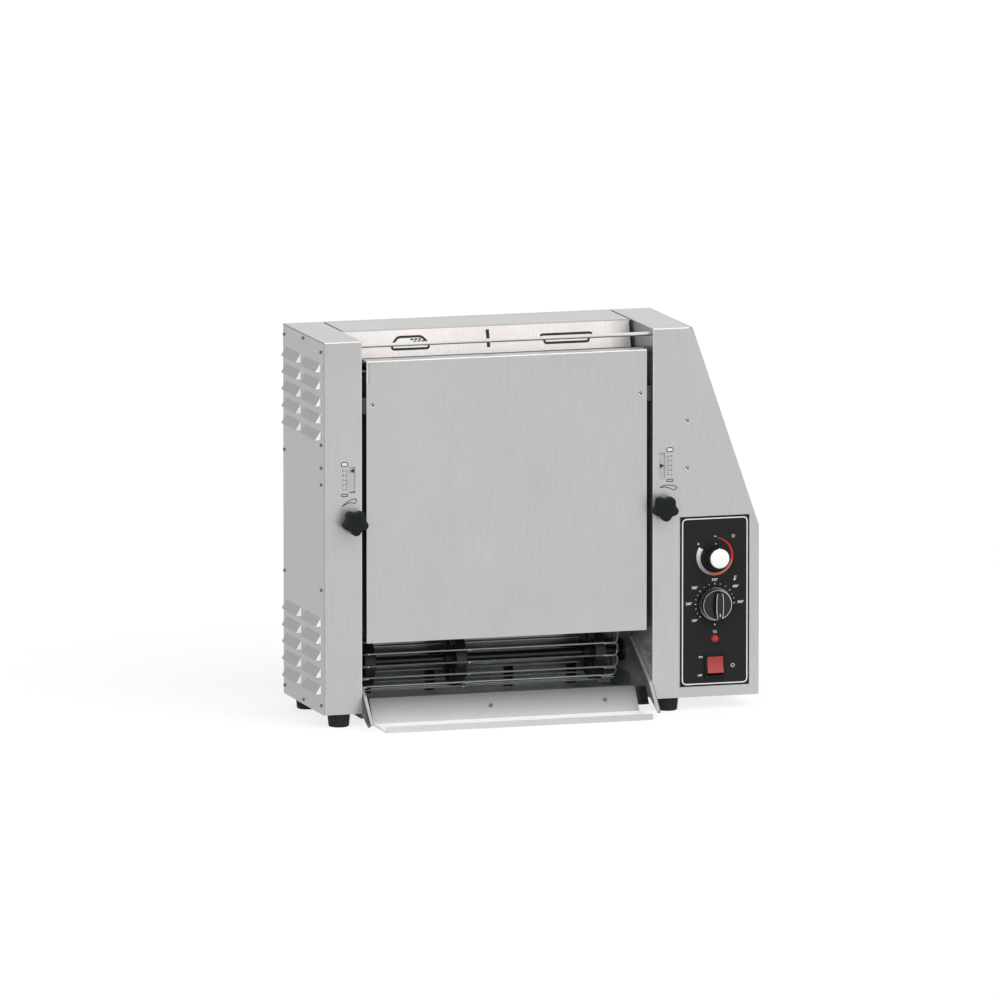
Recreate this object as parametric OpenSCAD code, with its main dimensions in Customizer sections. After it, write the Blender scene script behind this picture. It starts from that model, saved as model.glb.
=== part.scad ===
// Vertical conveyor bun toaster: two sheet-metal towers with a toasting lane pair between them.
// Sizes are in millimetres. Inside the file a place is written as [across, depth, height]:
// across runs right from the left tower's side, depth runs back from the tower fronts,
// height runs up from the towers' bottom edge.

/* [Body] */
// Width over both towers
body_w = 570; // [540:1:640]
// Depth of the towers
body_d = 180; // [178:1:220]
// Height of the towers
body_h = 470; // [466:1:540]
// Width of the left tower
left_w = 50; // [46:1:70]
// Width of the opening between the towers
lane_w = 380; // [372:1:400]
// Width of the right tower's top
right_top_w = 52; // [40:1:80]
// Height at which the right tower's side starts to lean
lean_h = 215; // [150:1:260]
// Thickness of the body's sheet metal
sheet = 1.2; // [0.8:0.1:2]
// Width of the return flanges that the side covers screw to
flange_w = 12; // [11:0.5:20]

/* [Feet] */
// Height of a foot
foot_h = 17.5; // [17:0.5:40]
// Radius of a foot at its top
foot_top_r = 14.5; // [13.5:0.5:20]
// Radius of a foot at its base
foot_base_r = 13; // [9:0.5:13]
// Distance of a foot's axis from the tower edge at the outside left and at the opening on the right
foot_in = 25; // [21:1:30]
// Distance of a foot's axis from the tower's front or back
foot_from_end = 19; // [15:1:30]

/* [Louvres] */
// Length of a louvre
louvre_len = 66; // [40:1:68]
// Height of a louvre
louvre_h = 11; // [8:0.5:16]
// How far a louvre stands out
louvre_out = 6.5; // [4:0.5:9]
// Distance from louvre to louvre, upwards
louvre_pitch = 21.4; // [18:0.1:24]
// Louvres in a stack
louvre_count = 5; // [1:1:5]
// Height of the lowest louvre of the lower stacks
louvre_low_h = 25; // [18:1:60]
// Distance of the upper stacks' lowest louvre below the tower tops
louvre_drop = 124; // [120:1:160]
// Distance of the louvre stacks from the front and back
louvre_margin = 13; // [12.5:0.5:18]

/* [Front cover] */
// Gap between the front cover and each tower
cover_gap = 7; // [4:0.5:12]
// Height of the front cover's lower edge
cover_low = 88; // [70:1:110]
// Distance of the front cover's upper edge below the tower tops
cover_drop = 26; // [20:1:50]
// How far the front cover lies behind the tower fronts
cover_set = 3; // [1:0.5:4]
// Depth of the front cover's top fold
cover_fold = 19; // [10:0.5:20]
// Distance of the front cover's screws below its upper edge
cover_screw_drop = 56; // [30:1:80]

/* [Guide rod] */
// Radius of the rod across the mouth
rod_r = 2.5; // [1.5:0.25:3]
// Distance of the rod behind the tower fronts
rod_back = 14; // [10:0.5:20]
// Distance of the rod's axis below the tower tops
rod_drop = 8; // [6:0.5:14]

/* [Rear housing] */
// Gap between the hood and each tower
hood_gap = 3; // [1:0.5:6]
// Distance of the hood's front edge behind the tower fronts
hood_front = 92; // [88:0.5:100]
// Width of the rear panel's top fold
hood_back = 9; // [6:0.5:14]
// Height that the bun slide drops
slide_drop = 34; // [20:0.5:40]
// How far the bun slide leans forward
slide_lean = 10; // [4:0.5:14]

/* [Conveyor] */
// Depth at which the belt's wires lie in front
belt_front = 91; // [90:0.5:93]
// Gap between the belt and the crumb pan's back wall
belt_back_gap = 4.6; // [3:0.1:12]
// Radius of a belt wire
wire_r = 1.2; // [0.8:0.1:1.6]
// Wires along the whole belt
wire_count = 52; // [30:1:60]
// Distance of the belt's edges from the towers
belt_margin = 18; // [14:0.5:24]
// Place of the belt's middle link row
link_mid = 217; // [200:1:240]
// Height of the lower drum's axis
low_drum_z = 43; // [41:0.5:50]
// Distance of the upper drum's axis below the tower tops
high_drum_drop = 85; // [80:1:100]
// Radius of the drum shafts
shaft_r = 6; // [4:0.5:7]

/* [Platens] */
// Thickness of a platen
platen_t = 10; // [6:0.5:12]
// Height of a platen's lower edge
platen_low = 105; // [95:1:120]
// Distance of a platen's upper edge below the tower tops
platen_drop = 70; // [66:1:120]
// Gap between the two platens
platen_gap = 10; // [4:0.5:20]
// Widest gap between platen and belt
lane_gap = 38; // [36:0.5:39]
// Travel of a platen over the whole scale
platen_travel = 16; // [8:0.5:16]

/* [Thickness adjusters] */
// Distance of an adjuster's axis from the opening
adjust_in = 12.5; // [11:0.5:14]
// Height of an adjuster's axis
adjust_z = 244; // [238:1:245]
// Radius of a star knob
star_r = 16.5; // [14:0.5:18]
// Lobes of a star knob
star_lobes = 5; // [3:1:8]
// Height of a star knob's grip
star_h = 15; // [10:0.5:20]
// Distance of the grip from the tower front
star_off = 7; // [4:0.5:12]
// Radius of an adjuster screw
screw_r = 4; // [3:0.5:5]
// Width of a scale window
window_w = 7.8; // [6:0.2:9]
// Height of a scale window
window_h = 33; // [32:0.5:36]
// Height of a scale window's lower edge
window_z = 279.5; // [278:0.5:284]
// Travel of a pointer over the whole scale
pointer_travel = 23.5; // [16:0.5:23.5]

/* [Control panel] */
// Width of the control plate
panel_w = 91; // [80:1:96]
// Height of the control plate
panel_h = 216; // [206:1:220]
// Height of the control plate's lower edge
panel_z = 13.5; // [8:0.5:20]
// Distance of the control plate from the right tower's outer side
panel_in = 13; // [8:0.5:20]
// Height of the speed knob's axis
speed_z = 178; // [170:1:190]
// Height of the thermostat knob's axis
thermo_z = 118; // [112:1:122]
// Height of the lamp
lamp_z = 73; // [68:1:78]
// Height of the power switch
switch_z = 39.3; // [32:0.1:44]
// Radius of the thermostat knob's skirt
thermo_r = 22; // [18:0.5:24]
// Radius of the speed knob's skirt
speed_r = 18; // [14:0.5:20]

/* [Exit chute] */
// How far the chute reaches in front of the towers
chute_reach = 54; // [44:1:70]
// Distance of the chute's ends from the towers
chute_margin = 16; // [10:0.5:24]
// Height of the chute's lip
lip_h = 7.4; // [4:0.2:12]
// Height of the chute's hump
hump_z = 14.5; // [12:0.5:18]

/* [Hidden] */
$fn = 48;
eps = 0.02;
clear = 0.3;
run_fit = 0.05;
seat_fit = 0.02;
head_h = 1.6;
head_r = 3;
thread_r = 1.5;
gland_out = 12;
gland_r = 9;
gland_neck_r = 6.75;
gland_bore_r = 4.05;
gland_z = 60;
gland_rim = 3;
right_w = body_w - left_w - lane_w;
lane_l = left_w;
lane_r = left_w + lane_w;
lane_mid = left_w + lane_w / 2;
rod_z = body_h - rod_drop;
x0 = (louvre_out - body_w - head_h) / 2;
y0 = (chute_reach - body_d - gland_out) / 2;

// Right tower's leaning side
lean_x = right_w - right_top_w;
lean_z = body_h - lean_h;
lean_sheet = sheet * norm([lean_x, lean_z]) / lean_z;
lean_bend_z = lean_h + (sheet - lean_sheet) * lean_z / lean_x;

// Rear housing
slide_lap = 10;
slide_toe = 7;
hand_over_gap = 3;
tab_h = 14;
tab_in = 6;
tab_d = [hood_front + slide_lap + tab_in, body_d - hood_back - tab_in];
rear_flange_w = 16;

// Belt, drums and drive
pan_back_gap = 10;
pan_back_d = body_d - pan_back_gap;
high_drum_z = body_h - high_drum_drop;
belt_pitch_d = belt_front + wire_r;
belt_r = (pan_back_d - belt_back_gap - wire_r - belt_pitch_d) / 2;
drum_d = belt_pitch_d + belt_r;
drum_r = belt_r - wire_r - clear;
belt_l = lane_l + belt_margin;
belt_r_x = lane_r - belt_margin;
wheel_w = 13;
wheel_in = 14;
wheel_hub = 8;
link_clear = 2;
belt_straight = high_drum_z - low_drum_z;
belt_loop = 2 * belt_straight + 2 * PI * belt_r;
link_w = 3;
link_t = 1.4;
bush_r = 10;
bush_flange_r = 14;
bush_flange_t = 3;
bush_len = 9;
drive_r = 24;
drive_w = 6;
chain_gap = 10;
chain_t = 5;
drive_x = lane_r + bush_len + chain_gap;
motor_rise = 92;
motor_z = low_drum_z + motor_rise;
motor_r = 29;
gearbox_half = 30;
gearbox_len = 26;
gearbox_x = drive_x + 2 * drive_w + chain_gap;
motor_end_gap = 25;
motor_end_x = body_w - sheet - motor_end_gap;
motor_leaf_t = 3;
motor_leaf_h = 30;
motor_shaft_r = 5;
shaft_tail = 8;

// Platens and what carries them
frame_d = 24;
frame_low = platen_low - 6;
frame_over = 20;
platen_h = body_h - platen_drop - platen_low;
frame_top = platen_low + platen_h + frame_over;
platen_face = belt_front - lane_gap;
platen_w = (lane_w - 2 * cover_gap - platen_gap) / 2;
platen_l = [lane_l + cover_gap, lane_mid + platen_gap / 2];
platen_back = [0, platen_travel / 2];
guide_r = 4;
guide_tip = 6;
guide_in = 34;
heater_t = 4;
heater_in = 16;
nut_t = 10;
nut_half = 9;
arm_h = 12;
adjust_x = [lane_l - adjust_in, lane_r + adjust_in];
pointer_drop = [0, pointer_travel / 2];
pointer_top_z = window_z + (window_h + pointer_travel) / 2;
carrier_low = 3;
carrier_high = 9;
pointer_size = 5;
carrier_w = window_w + 4;
carrier_t = 1;
guide_t = 1;

// Front cover
front_l = lane_l + cover_gap;
front_r = lane_r - cover_gap;
cover_top = body_h - cover_drop;
cover_screw_h = cover_top - cover_screw_drop;
cover_screw_x = [front_l + 8, front_r - 8];
ear_in = 18;
ear_half = 10;

// Exit chute, crumb pan and cheeks
floor_gap = 0.9;
lip_z = floor_gap - foot_h;
tray_z = lip_z + 2;
hump_d = 24;
hump_foot_d = 4;
hump_flange = 10;
pan_z = -8;
pan_h = 68;
pan_side_h = 18;
pan_slot_w = 13;
pan_slot_h = 28;
pan_slot_x = [-135, -52, 52, 135];
cheek_out = 36;
cheek_d = 91;
cheek_z = 74;
cheek_h = 32;
cheek_bend_d = -2;
cheek_bend_z = 22;
cheek_tip_z = -11;
cheek_tip_w = 10;
cheek_tip_h = 3;
cheek_low_d = 12;
cheek_low_z = 3;
chute_screw_x = [-18, 132];
chute_screw_at = 0.5;
chute_line = [[hump_d + hump_flange, hump_z], [hump_d, hump_z], [hump_foot_d, tray_z],
    [-chute_reach + sheet, lip_z + sheet], [-chute_reach + sheet, lip_z + lip_h]];
under_hump = mitre(chute_line, 1, sheet);
under_foot = mitre(chute_line, 2, sheet);
slope = under_hump - under_foot;
pan_front_d = under_foot[0] + slope[0] * (pan_z - under_foot[1]) / slope[1];

// Controls
panel_t = 1;
panel_x = body_w - panel_in - panel_w / 2;
spindle_r = 3;
lens_r = 5;
bezel_w = 27;
bezel_h = 31;
bezel_t = 2.5;
rocker_w = 20.6;
rocker_h = 23.4;
rocker_tilt = 9;
rocker_axis_d = 3;
switch_body_d = 24;
flute_count = 8;
board_in = 28;
board_t = 1.6;
board_over = 21;
lug_t = 8;
lug_half = 5;
skirt_h = 4;
speed_h = 20;
speed_cap_t = 2;
speed_cap_in = 5.7;
grip_in = 3;
flute_r = 3;
thermo_face_h = 12;
thermo_bar_h = 23;
thermo_bar_w = 9;
thermo_bar_in = 3.5;
spindle_len = 8;
spindle_hole = 10;
lens_tail = 3.4;
lamp_len = 24;
lamp_wall = 3;

// Fasteners: side screws as [depth, height], the others as [across, height]
side_head_r = 2.4;
side_in_d = 10;
side_back_d = 5;
side_low = 11;
side_high = body_h - 13;
side_row_gap = 154;
side_mid = (side_low + side_high) / 2;
side_rows = [side_low, side_mid - side_row_gap / 2, side_mid + side_row_gap / 2, side_high];
front_edge_rows = [side_rows[2] - 21, side_rows[2] + 29];
left_screws = concat(
    [for (z = side_rows, d = [side_in_d, body_d - side_back_d]) [d, z]],
    [for (z = front_edge_rows) [side_in_d, z]],
    [for (z = [flange_w / 2, body_h - flange_w / 2]) [body_d / 2, z]]);
right_top = lean_h - 7;
right_screws = [for (z = [side_low, (side_low + right_top) / 2, right_top],
    d = [side_in_d, body_d - side_in_d + sheet]) [d, z]];
front_screw_in = 45.5;
front_screw_drop = 119;
front_screw_gap = 60;
tower_screws = [for (z = [body_h - front_screw_drop - front_screw_gap, body_h - front_screw_drop])
    [lane_r + front_screw_in, z]];
rear_screw_in = 30;
rear_row_gap = (body_h - 2 * rear_screw_in) / 3;
rear_screws = [for (i = [0:3], x = [lane_l + rear_flange_w / 2, lane_r - rear_flange_w / 2])
    [x, rear_screw_in + i * rear_row_gap]];
vent_pitch = 24;
vent_x = [for (i = [-5:5]) lane_mid + vent_pitch * i];
vent_h = 60;
vent_w = 6;
vent_in = 90;
vent_z = [vent_in, body_h - vent_in - vent_h];

// A box between two corners
module block(lo, hi) {
    translate([x0 + lo[0], y0 + lo[1], foot_h + lo[2]])
        cube(hi - lo);
}

// A round bar along the width
module rod_x(x1, x2, d, z, r) {
    translate([x0 + x1, y0 + d, foot_h + z])
        rotate([0, 90, 0])
            cylinder(r = r, h = x2 - x1);
}

// A round bar along the depth
module rod_y(d1, d2, x, z, r) {
    translate([x0 + x, y0 + d1, foot_h + z])
        rotate([-90, 0, 0])
            cylinder(r = r, h = d2 - d1);
}

// A side outline of [depth, height] points, carried along the width
module profile_x(x1, x2, points) {
    translate([x0 + x1, y0, foot_h])
        rotate([90, 0, 90])
            linear_extrude(x2 - x1)
                polygon(points);
}

// A front outline of [across, height] points, carried along the depth
module profile_y(d1, d2, points) {
    translate([x0, y0 + d2, foot_h])
        rotate([90, 0, 0])
            linear_extrude(d2 - d1)
                polygon(points);
}

// Outline of a folded sheet: the line of its face and the same line one thickness to its left
function unit(v) = v / norm(v);
function left_of(a, b) = let (d = unit(b - a)) [-d[1], d[0]];
function mitre(p, i, t) = let (
    last = len(p) - 1,
    before = left_of(p[max(i - 1, 0)], p[max(i, 1)]),
    after = left_of(p[min(i, last - 1)], p[min(i + 1, last)]))
    p[i] + (before + after) * t / (1 + before * after);
function folded(p, t) = concat(p, [for (i = [len(p) - 1:-1:0]) mitre(p, i, t)]);

// Pan-head screws: the shank runs along the depth, with the head in front
module screw_y(d, x, z, len, r = head_r) {
    rod_y(d - head_h, d, x, z, r);
    rod_y(d - eps, d + len, x, z, thread_r);
}

// Hole for a screw's shank
module screw_hole_y(d1, d2, x, z) {
    rod_y(d1, d2, x, z, thread_r + clear / 2);
}

// Cuts in a tower's front for the scale window and the adjuster screw
module adjuster_cuts(side) {
    x = adjust_x[side];
    block([x - window_w / 2, -1, window_z], [x + window_w / 2, sheet + 1, window_z + window_h]);
    rod_y(-1, sheet + 1, x, adjust_z, screw_r + run_fit);
}

// Cuts in a tower's inner wall for the platen arm, the drum bushes and the guide rod
module inner_wall_cuts(x1, x2) {
    nut_d = platen_face - platen_t;
    block([x1, nut_d - clear, adjust_z - arm_h / 2 - clear],
        [x2, nut_d + platen_travel + nut_t + clear, adjust_z + arm_h / 2 + clear]);
    for (z = [low_drum_z, high_drum_z])
        rod_x(x1, x2, drum_d, z, bush_r + seat_fit);
    rod_x(x1, x2, rod_back, rod_z, rod_r + seat_fit);
}

module left_tower_shell() {
    color("silver")
        difference() {
            block([sheet, 0, 0], [left_w, body_d, body_h]);
            block([2 * sheet, sheet, sheet], [left_w - sheet, body_d - sheet, body_h - sheet]);
            block([0, flange_w, flange_w], [3 * sheet, body_d - flange_w, body_h - flange_w]);
            adjuster_cuts(0);
            inner_wall_cuts(left_w - 2 * sheet, left_w + 1);
            for (s = left_screws)
                rod_x(0, 3 * sheet, s[0], s[1], thread_r + clear / 2);
        }
}

// One louvre pressed out of the left cover, as a wedge
module louvre_wedge(d, z) {
    profile_y(d, d + louvre_len, [[eps, z], [eps, z + louvre_h], [-louvre_out, z]]);
}

// The hollow behind a louvre, open downwards and into the tower
module louvre_hollow(d, z) {
    profile_y(d + sheet, d + louvre_len - sheet,
        [[2 * sheet, z - eps], [2 * sheet, z + louvre_h - sheet], [0, z + louvre_h - 2 * sheet],
         [2 * sheet - louvre_out, z - eps]]);
}

module left_side_cover() {
    stacks = [louvre_margin, body_d - louvre_margin - louvre_len];
    lows = [louvre_low_h, body_h - louvre_drop];
    color("gainsboro")
        difference() {
            union() {
                block([0, 0, 0], [sheet, body_d, body_h]);
                for (d = stacks, low = lows, i = [0:louvre_count - 1])
                    louvre_wedge(d, low + i * louvre_pitch);
            }
            for (d = stacks, low = lows, i = [0:louvre_count - 1])
                louvre_hollow(d, low + i * louvre_pitch);
            for (s = left_screws)
                rod_x(-1, sheet + 1, s[0], s[1], thread_r + clear / 2);
        }
}

// Inner face of the right tower's leaning side, at a height
function lean_face(z) = lane_r + right_top_w - lean_sheet + (body_h - z) * lean_x / lean_z;

// Outline of the right tower's front and back sheets
under_top = body_h - sheet;
right_outline = [[lane_r, 0], [body_w - sheet, 0], [body_w - sheet, lean_bend_z],
    [lean_face(under_top), under_top], [lane_r, under_top]];

// A flange along the right tower's open side, with the holes of its screws
module right_flange(d) {
    difference() {
        block([body_w - 2 * sheet, d, sheet], [body_w - sheet, d + flange_w + eps, lean_h - flange_w / 4]);
        for (s = right_screws)
            rod_x(body_w - 3 * sheet, body_w, s[0], s[1], thread_r + clear / 2);
    }
}

module right_tower_front() {
    color("silver") {
        difference() {
            profile_y(0, sheet, right_outline);
            adjuster_cuts(1);
            for (z = [speed_z, thermo_z])
                rod_y(-1, sheet + 1, panel_x, z, spindle_r + clear);
            rod_y(-1, sheet + 1, panel_x, lamp_z, lens_r + clear);
            switch_cut(-1, sheet + 1);
            for (s = tower_screws)
                screw_hole_y(-1, sheet + 1, s[0], s[1]);
        }
        right_flange(sheet - eps);
    }
}

module right_tower_wall() {
    color("silver")
        difference() {
            block([lane_r, sheet, 0], [lane_r + sheet, body_d - sheet, under_top]);
            inner_wall_cuts(lane_r - 1, lane_r + 2 * sheet);
        }
}

module right_tower_back() {
    color("silver") {
        difference() {
            profile_y(body_d - sheet, body_d, right_outline);
            rod_y(body_d - sheet - 1, body_d + 1, panel_x, gland_z, gland_neck_r);
        }
        right_flange(body_d - flange_w - sheet);
    }
}

// Top and floor of the right tower
module right_tower_ends() {
    color("gainsboro") {
        profile_y(0, body_d, [[lane_r, under_top], [lean_face(under_top), under_top],
            [lean_face(body_h), body_h], [lane_r, body_h]]);
        block([lane_r + sheet, sheet, 0], [body_w - sheet, body_d - sheet, sheet]);
    }
}

module right_side_cover() {
    color("gainsboro")
        difference() {
            profile_y(0, body_d, [[body_w, 0], [body_w, lean_h], [lane_r + right_top_w, body_h],
                [lean_face(body_h), body_h], [body_w - sheet, lean_bend_z], [body_w - sheet, 0]]);
            for (s = right_screws)
                rod_x(body_w - 2 * sheet, body_w + 1, s[0], s[1], thread_r + clear / 2);
        }
}

module side_cover_screws() {
    color("dimgray") {
        for (s = left_screws) {
            rod_x(-head_h, 0, s[0], s[1], side_head_r);
            rod_x(-eps, 3 * sheet, s[0], s[1], thread_r);
        }
        for (s = right_screws) {
            rod_x(body_w, body_w + head_h, s[0], s[1], side_head_r);
            rod_x(body_w - 3 * sheet, body_w + eps, s[0], s[1], thread_r);
        }
    }
}

// Screws in the right tower's front and in the front cover
module front_screws() {
    color("lightgray") {
        for (s = tower_screws)
            screw_y(0, s[0], s[1], 3 * sheet);
        for (x = cover_screw_x)
            screw_y(cover_set, x, cover_screw_h, 4 * sheet);
    }
}

// Angles on the towers' inner walls that the rear panel is screwed to
module rear_rails() {
    low = pan_side_h + clear;
    high = body_h - flange_w;
    back = body_d - sheet;
    color("silver")
        for (side = [0, 1]) {
            wall = side == 0 ? lane_l : lane_r - sheet;
            leaf = side == 0 ? lane_l : lane_r - rear_flange_w;
            difference() {
                union() {
                    block([wall, back - sheet - flange_w, low], [wall + sheet, back, high]);
                    block([leaf, back - sheet, low], [leaf + rear_flange_w, back, high]);
                }
                for (s = rear_screws)
                    screw_hole_y(back - 2 * sheet, back + 1, s[0], s[1]);
            }
        }
}

module rear_panel() {
    color("silver")
        difference() {
            union() {
                block([lane_l, body_d - sheet, pan_z], [lane_r, body_d, body_h]);
                block([lane_l, body_d - hood_back, body_h - sheet], [lane_r, body_d, body_h]);
            }
            for (x = vent_x, z = vent_z)
                block([x - vent_w / 2, body_d - 2 * sheet, z], [x + vent_w / 2, body_d + 1, z + vent_h]);
            for (s = rear_screws)
                screw_hole_y(body_d - 2 * sheet, body_d + 1, s[0], s[1]);
        }
}

// Pan-head screws seen from the back
module rear_panel_screws() {
    color("lightgray")
        for (s = rear_screws) {
            rod_y(body_d, body_d + head_h, s[0], s[1], head_r);
            rod_y(body_d - 3 * sheet, body_d + eps, s[0], s[1], thread_r);
        }
}

// Top plate with a tab at each end that holds it to the tower
module top_hood() {
    low = body_h - tab_h;
    color("gainsboro") {
        block([lane_l + hood_gap, hood_front, body_h - sheet],
            [lane_r - hood_gap, body_d - hood_back, body_h]);
        for (side = [0, 1]) {
            wall = side == 0 ? lane_l : lane_r - hood_gap - sheet;
            edge = side == 0 ? lane_l + hood_gap : lane_r - hood_gap - sheet;
            block([edge, tab_d[0], low], [edge + sheet, tab_d[1], body_h - sheet + eps]);
            block([wall, tab_d[0], low], [wall + hood_gap + sheet, tab_d[1], low + tab_h / 2]);
        }
    }
}

// Slide under the top plate's front edge, with the fold that hands the buns to the belt
module bun_slide() {
    top = body_h - sheet;
    foot = body_h - slide_drop;
    line = [[hood_front + slide_lap, top], [hood_front, top], [hood_front - slide_lean, foot],
        [belt_front - hand_over_gap, foot - slide_toe]];
    color("whitesmoke")
        profile_x(lane_l + hood_gap, lane_r - hood_gap, folded(line, sheet));
}

module front_cover() {
    d = cover_set;
    color("lightgray")
        difference() {
            union() {
                block([front_l, d, cover_low], [front_r, d + sheet, cover_top]);
                block([front_l, d, cover_top - sheet], [front_r, d + cover_fold, cover_top]);
                block([front_l, d, cover_low], [front_r, d + cover_fold / 2, cover_low + sheet]);
            }
            for (x = cover_screw_x)
                screw_hole_y(d - 1, d + 2 * sheet, x, cover_screw_h);
        }
}

// Ears on the tower walls that the front cover is screwed to
module cover_brackets() {
    d = cover_set + sheet;
    low = cover_screw_h - ear_half;
    high = cover_screw_h + ear_half;
    color("silver")
        for (side = [0, 1]) {
            wall = side == 0 ? lane_l : lane_r - sheet;
            ear = side == 0 ? lane_l : lane_r - cover_gap - ear_in;
            difference() {
                union() {
                    block([wall, d, low], [wall + sheet, frame_d, high]);
                    block([ear, d, low], [ear + cover_gap + ear_in, d + sheet, high]);
                }
                screw_hole_y(d - 1, d + 2 * sheet, cover_screw_x[side], cover_screw_h);
            }
        }
}

module guide_rod() {
    color("gainsboro")
        rod_x(lane_l - 3 * sheet, lane_r + 3 * sheet, rod_back, rod_z, rod_r);
}

// Places of a platen's guide pins as [across, height]
function pin_places(side) = [for (z = [platen_low + guide_in, platen_low + platen_h - guide_in])
    [platen_l[side] + platen_w / 2, z]];

module platen_frame() {
    color("slategray")
        difference() {
            union() {
                block([lane_l, frame_d, frame_low], [lane_r, frame_d + sheet, frame_top]);
                for (x = [lane_l, lane_r - sheet])
                    block([x, frame_d, frame_low], [x + sheet, frame_d + flange_w, frame_top]);
            }
            for (side = [0, 1], p = pin_places(side))
                rod_y(frame_d - 1, frame_d + 2 * sheet, p[0], p[1], guide_r + run_fit);
        }
}

// A heated plate with a lead-in at its top
module platen(side) {
    d = platen_face + platen_back[side];
    top = platen_low + platen_h;
    color("dimgray")
        profile_x(platen_l[side], platen_l[side] + platen_w,
            [[d - platen_t, platen_low], [d - platen_t / 2, platen_low], [d, platen_low + platen_t],
             [d, top - 2 * platen_t], [d - platen_t / 2, top], [d - platen_t, top]]);
}

module heater(side) {
    d = platen_face + platen_back[side] - platen_t;
    color("darkgoldenrod")
        difference() {
            block([platen_l[side] + heater_in, d - heater_t, platen_low + heater_in],
                [platen_l[side] + platen_w - heater_in, d, platen_low + platen_h - heater_in]);
            for (p = pin_places(side))
                rod_y(d - heater_t - 1, d + 1, p[0], p[1], guide_r + 2);
        }
}

// The nut on the adjuster screw and its arm to the platen
module platen_nut(side) {
    d = platen_face + platen_back[side] - platen_t;
    x = adjust_x[side];
    arm_to = side == 0 ? platen_l[0] : platen_l[1] + platen_w;
    color("darkgray")
        difference() {
            union() {
                block([x - nut_half, d, adjust_z - nut_half],
                    [x + nut_half, d + nut_t, adjust_z + nut_half]);
                block([min(x, arm_to), d, adjust_z - arm_h / 2],
                    [max(x, arm_to), d + nut_t, adjust_z + arm_h / 2]);
            }
            rod_y(d - 1, d + nut_t + 1, x, adjust_z, screw_r + run_fit);
        }
}

module platen_pins(side) {
    d = platen_face + platen_back[side] - platen_t;
    color("gainsboro")
        for (p = pin_places(side))
            rod_y(guide_tip + platen_back[side], d, p[0], p[1], guide_r);
}

// A grip with round lobes on a short hub
module star_knob(side) {
    lobe_r = star_r * 0.32;
    x = adjust_x[side];
    color("black")
        difference() {
            union() {
                rod_y(-star_off - star_h, -star_off, x, adjust_z, star_r * 0.74);
                rod_y(-star_off - eps, -head_h, x, adjust_z, star_r * 0.5);
                for (i = [0:star_lobes - 1]) {
                    turn = 360 * i / star_lobes - 90;
                    rod_y(-star_off - star_h, -star_off, x + (star_r - lobe_r) * cos(turn),
                        adjust_z + (star_r - lobe_r) * sin(turn), lobe_r);
                }
            }
            rod_y(-star_off - star_h / 2, 0, x, adjust_z, screw_r + seat_fit);
        }
}

module adjuster_screw(side) {
    x = adjust_x[side];
    color("gainsboro") {
        rod_y(-star_off - star_h / 2, platen_face + platen_travel + nut_t, x, adjust_z, screw_r);
        rod_y(sheet + clear, sheet + clear + 3, x, adjust_z, screw_r + 2);
    }
}

// The slide behind a scale window and the triangle that shows through it
module pointer(side) {
    x = adjust_x[side];
    z = pointer_top_z - pointer_drop[side];
    half = pointer_size / 2;
    tip = side == 0 ? x - half : x + half;
    base = side == 0 ? x + half : x - half;
    d = sheet + clear;
    color("lightgray")
        block([x - carrier_w / 2, d, z - pointer_travel - carrier_low],
            [x + carrier_w / 2, d + carrier_t, z + pointer_travel + carrier_high]);
    color("black")
        profile_y(d - carrier_t, d + eps, [[base, z - half], [base, z + half], [tip, z]]);
}

// Channels that hold the pointer slides against the tower fronts
module pointer_guides() {
    low = pointer_top_z - 1.5 * pointer_travel - carrier_low - clear;
    high = pointer_top_z + pointer_travel + carrier_high + clear;
    color("silver")
        for (x = adjust_x) {
            inner = carrier_w / 2 + clear;
            back = sheet + 2 * clear + carrier_t;
            for (side = [-1, 1])
                block([x + side * (inner + guide_t / 2) - guide_t / 2, sheet, low],
                    [x + side * (inner + guide_t / 2) + guide_t / 2, back + guide_t, high]);
            block([x - inner - guide_t, back, low], [x + inner + guide_t, back + guide_t, high]);
        }
}

// Side outline of a belt loop around both drums
module loop_outline(r) {
    for (z = [low_drum_z, high_drum_z])
        translate([drum_d, z])
            circle(r = r);
    translate([drum_d - r, low_drum_z])
        square([2 * r, belt_straight]);
}

// Place of a point along the belt's loop, as [depth, height]
function loop_place(s) =
    s < belt_straight ? [drum_d - belt_r, high_drum_z - s]
    : s < belt_straight + PI * belt_r ? let (a = 180 + (s - belt_straight) / belt_r * 180 / PI)
        [drum_d + belt_r * cos(a), low_drum_z + belt_r * sin(a)]
    : s < 2 * belt_straight + PI * belt_r ? [drum_d + belt_r, low_drum_z + s - belt_straight - PI * belt_r]
    : let (a = (s - 2 * belt_straight - PI * belt_r) / belt_r * 180 / PI)
        [drum_d + belt_r * cos(a), high_drum_z + belt_r * sin(a)];

module wire_belt() {
    color("gray") {
        for (i = [0:wire_count - 1]) {
            p = loop_place((i + 0.5) * belt_loop / wire_count);
            rod_x(belt_l, belt_r_x, p[0], p[1], wire_r);
        }
        for (x = [belt_l + link_w, link_mid, belt_r_x - 2 * link_w])
            translate([x0 + x, y0, foot_h])
                rotate([90, 0, 90])
                    linear_extrude(link_w)
                        difference() {
                            loop_outline(belt_r + link_t / 2);
                            loop_outline(belt_r - link_t / 2);
                        }
    }
}

module drum_shaft(z, x2) {
    color("gainsboro")
        rod_x(lane_l - bush_len, x2, drum_d, z, shaft_r);
}

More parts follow.
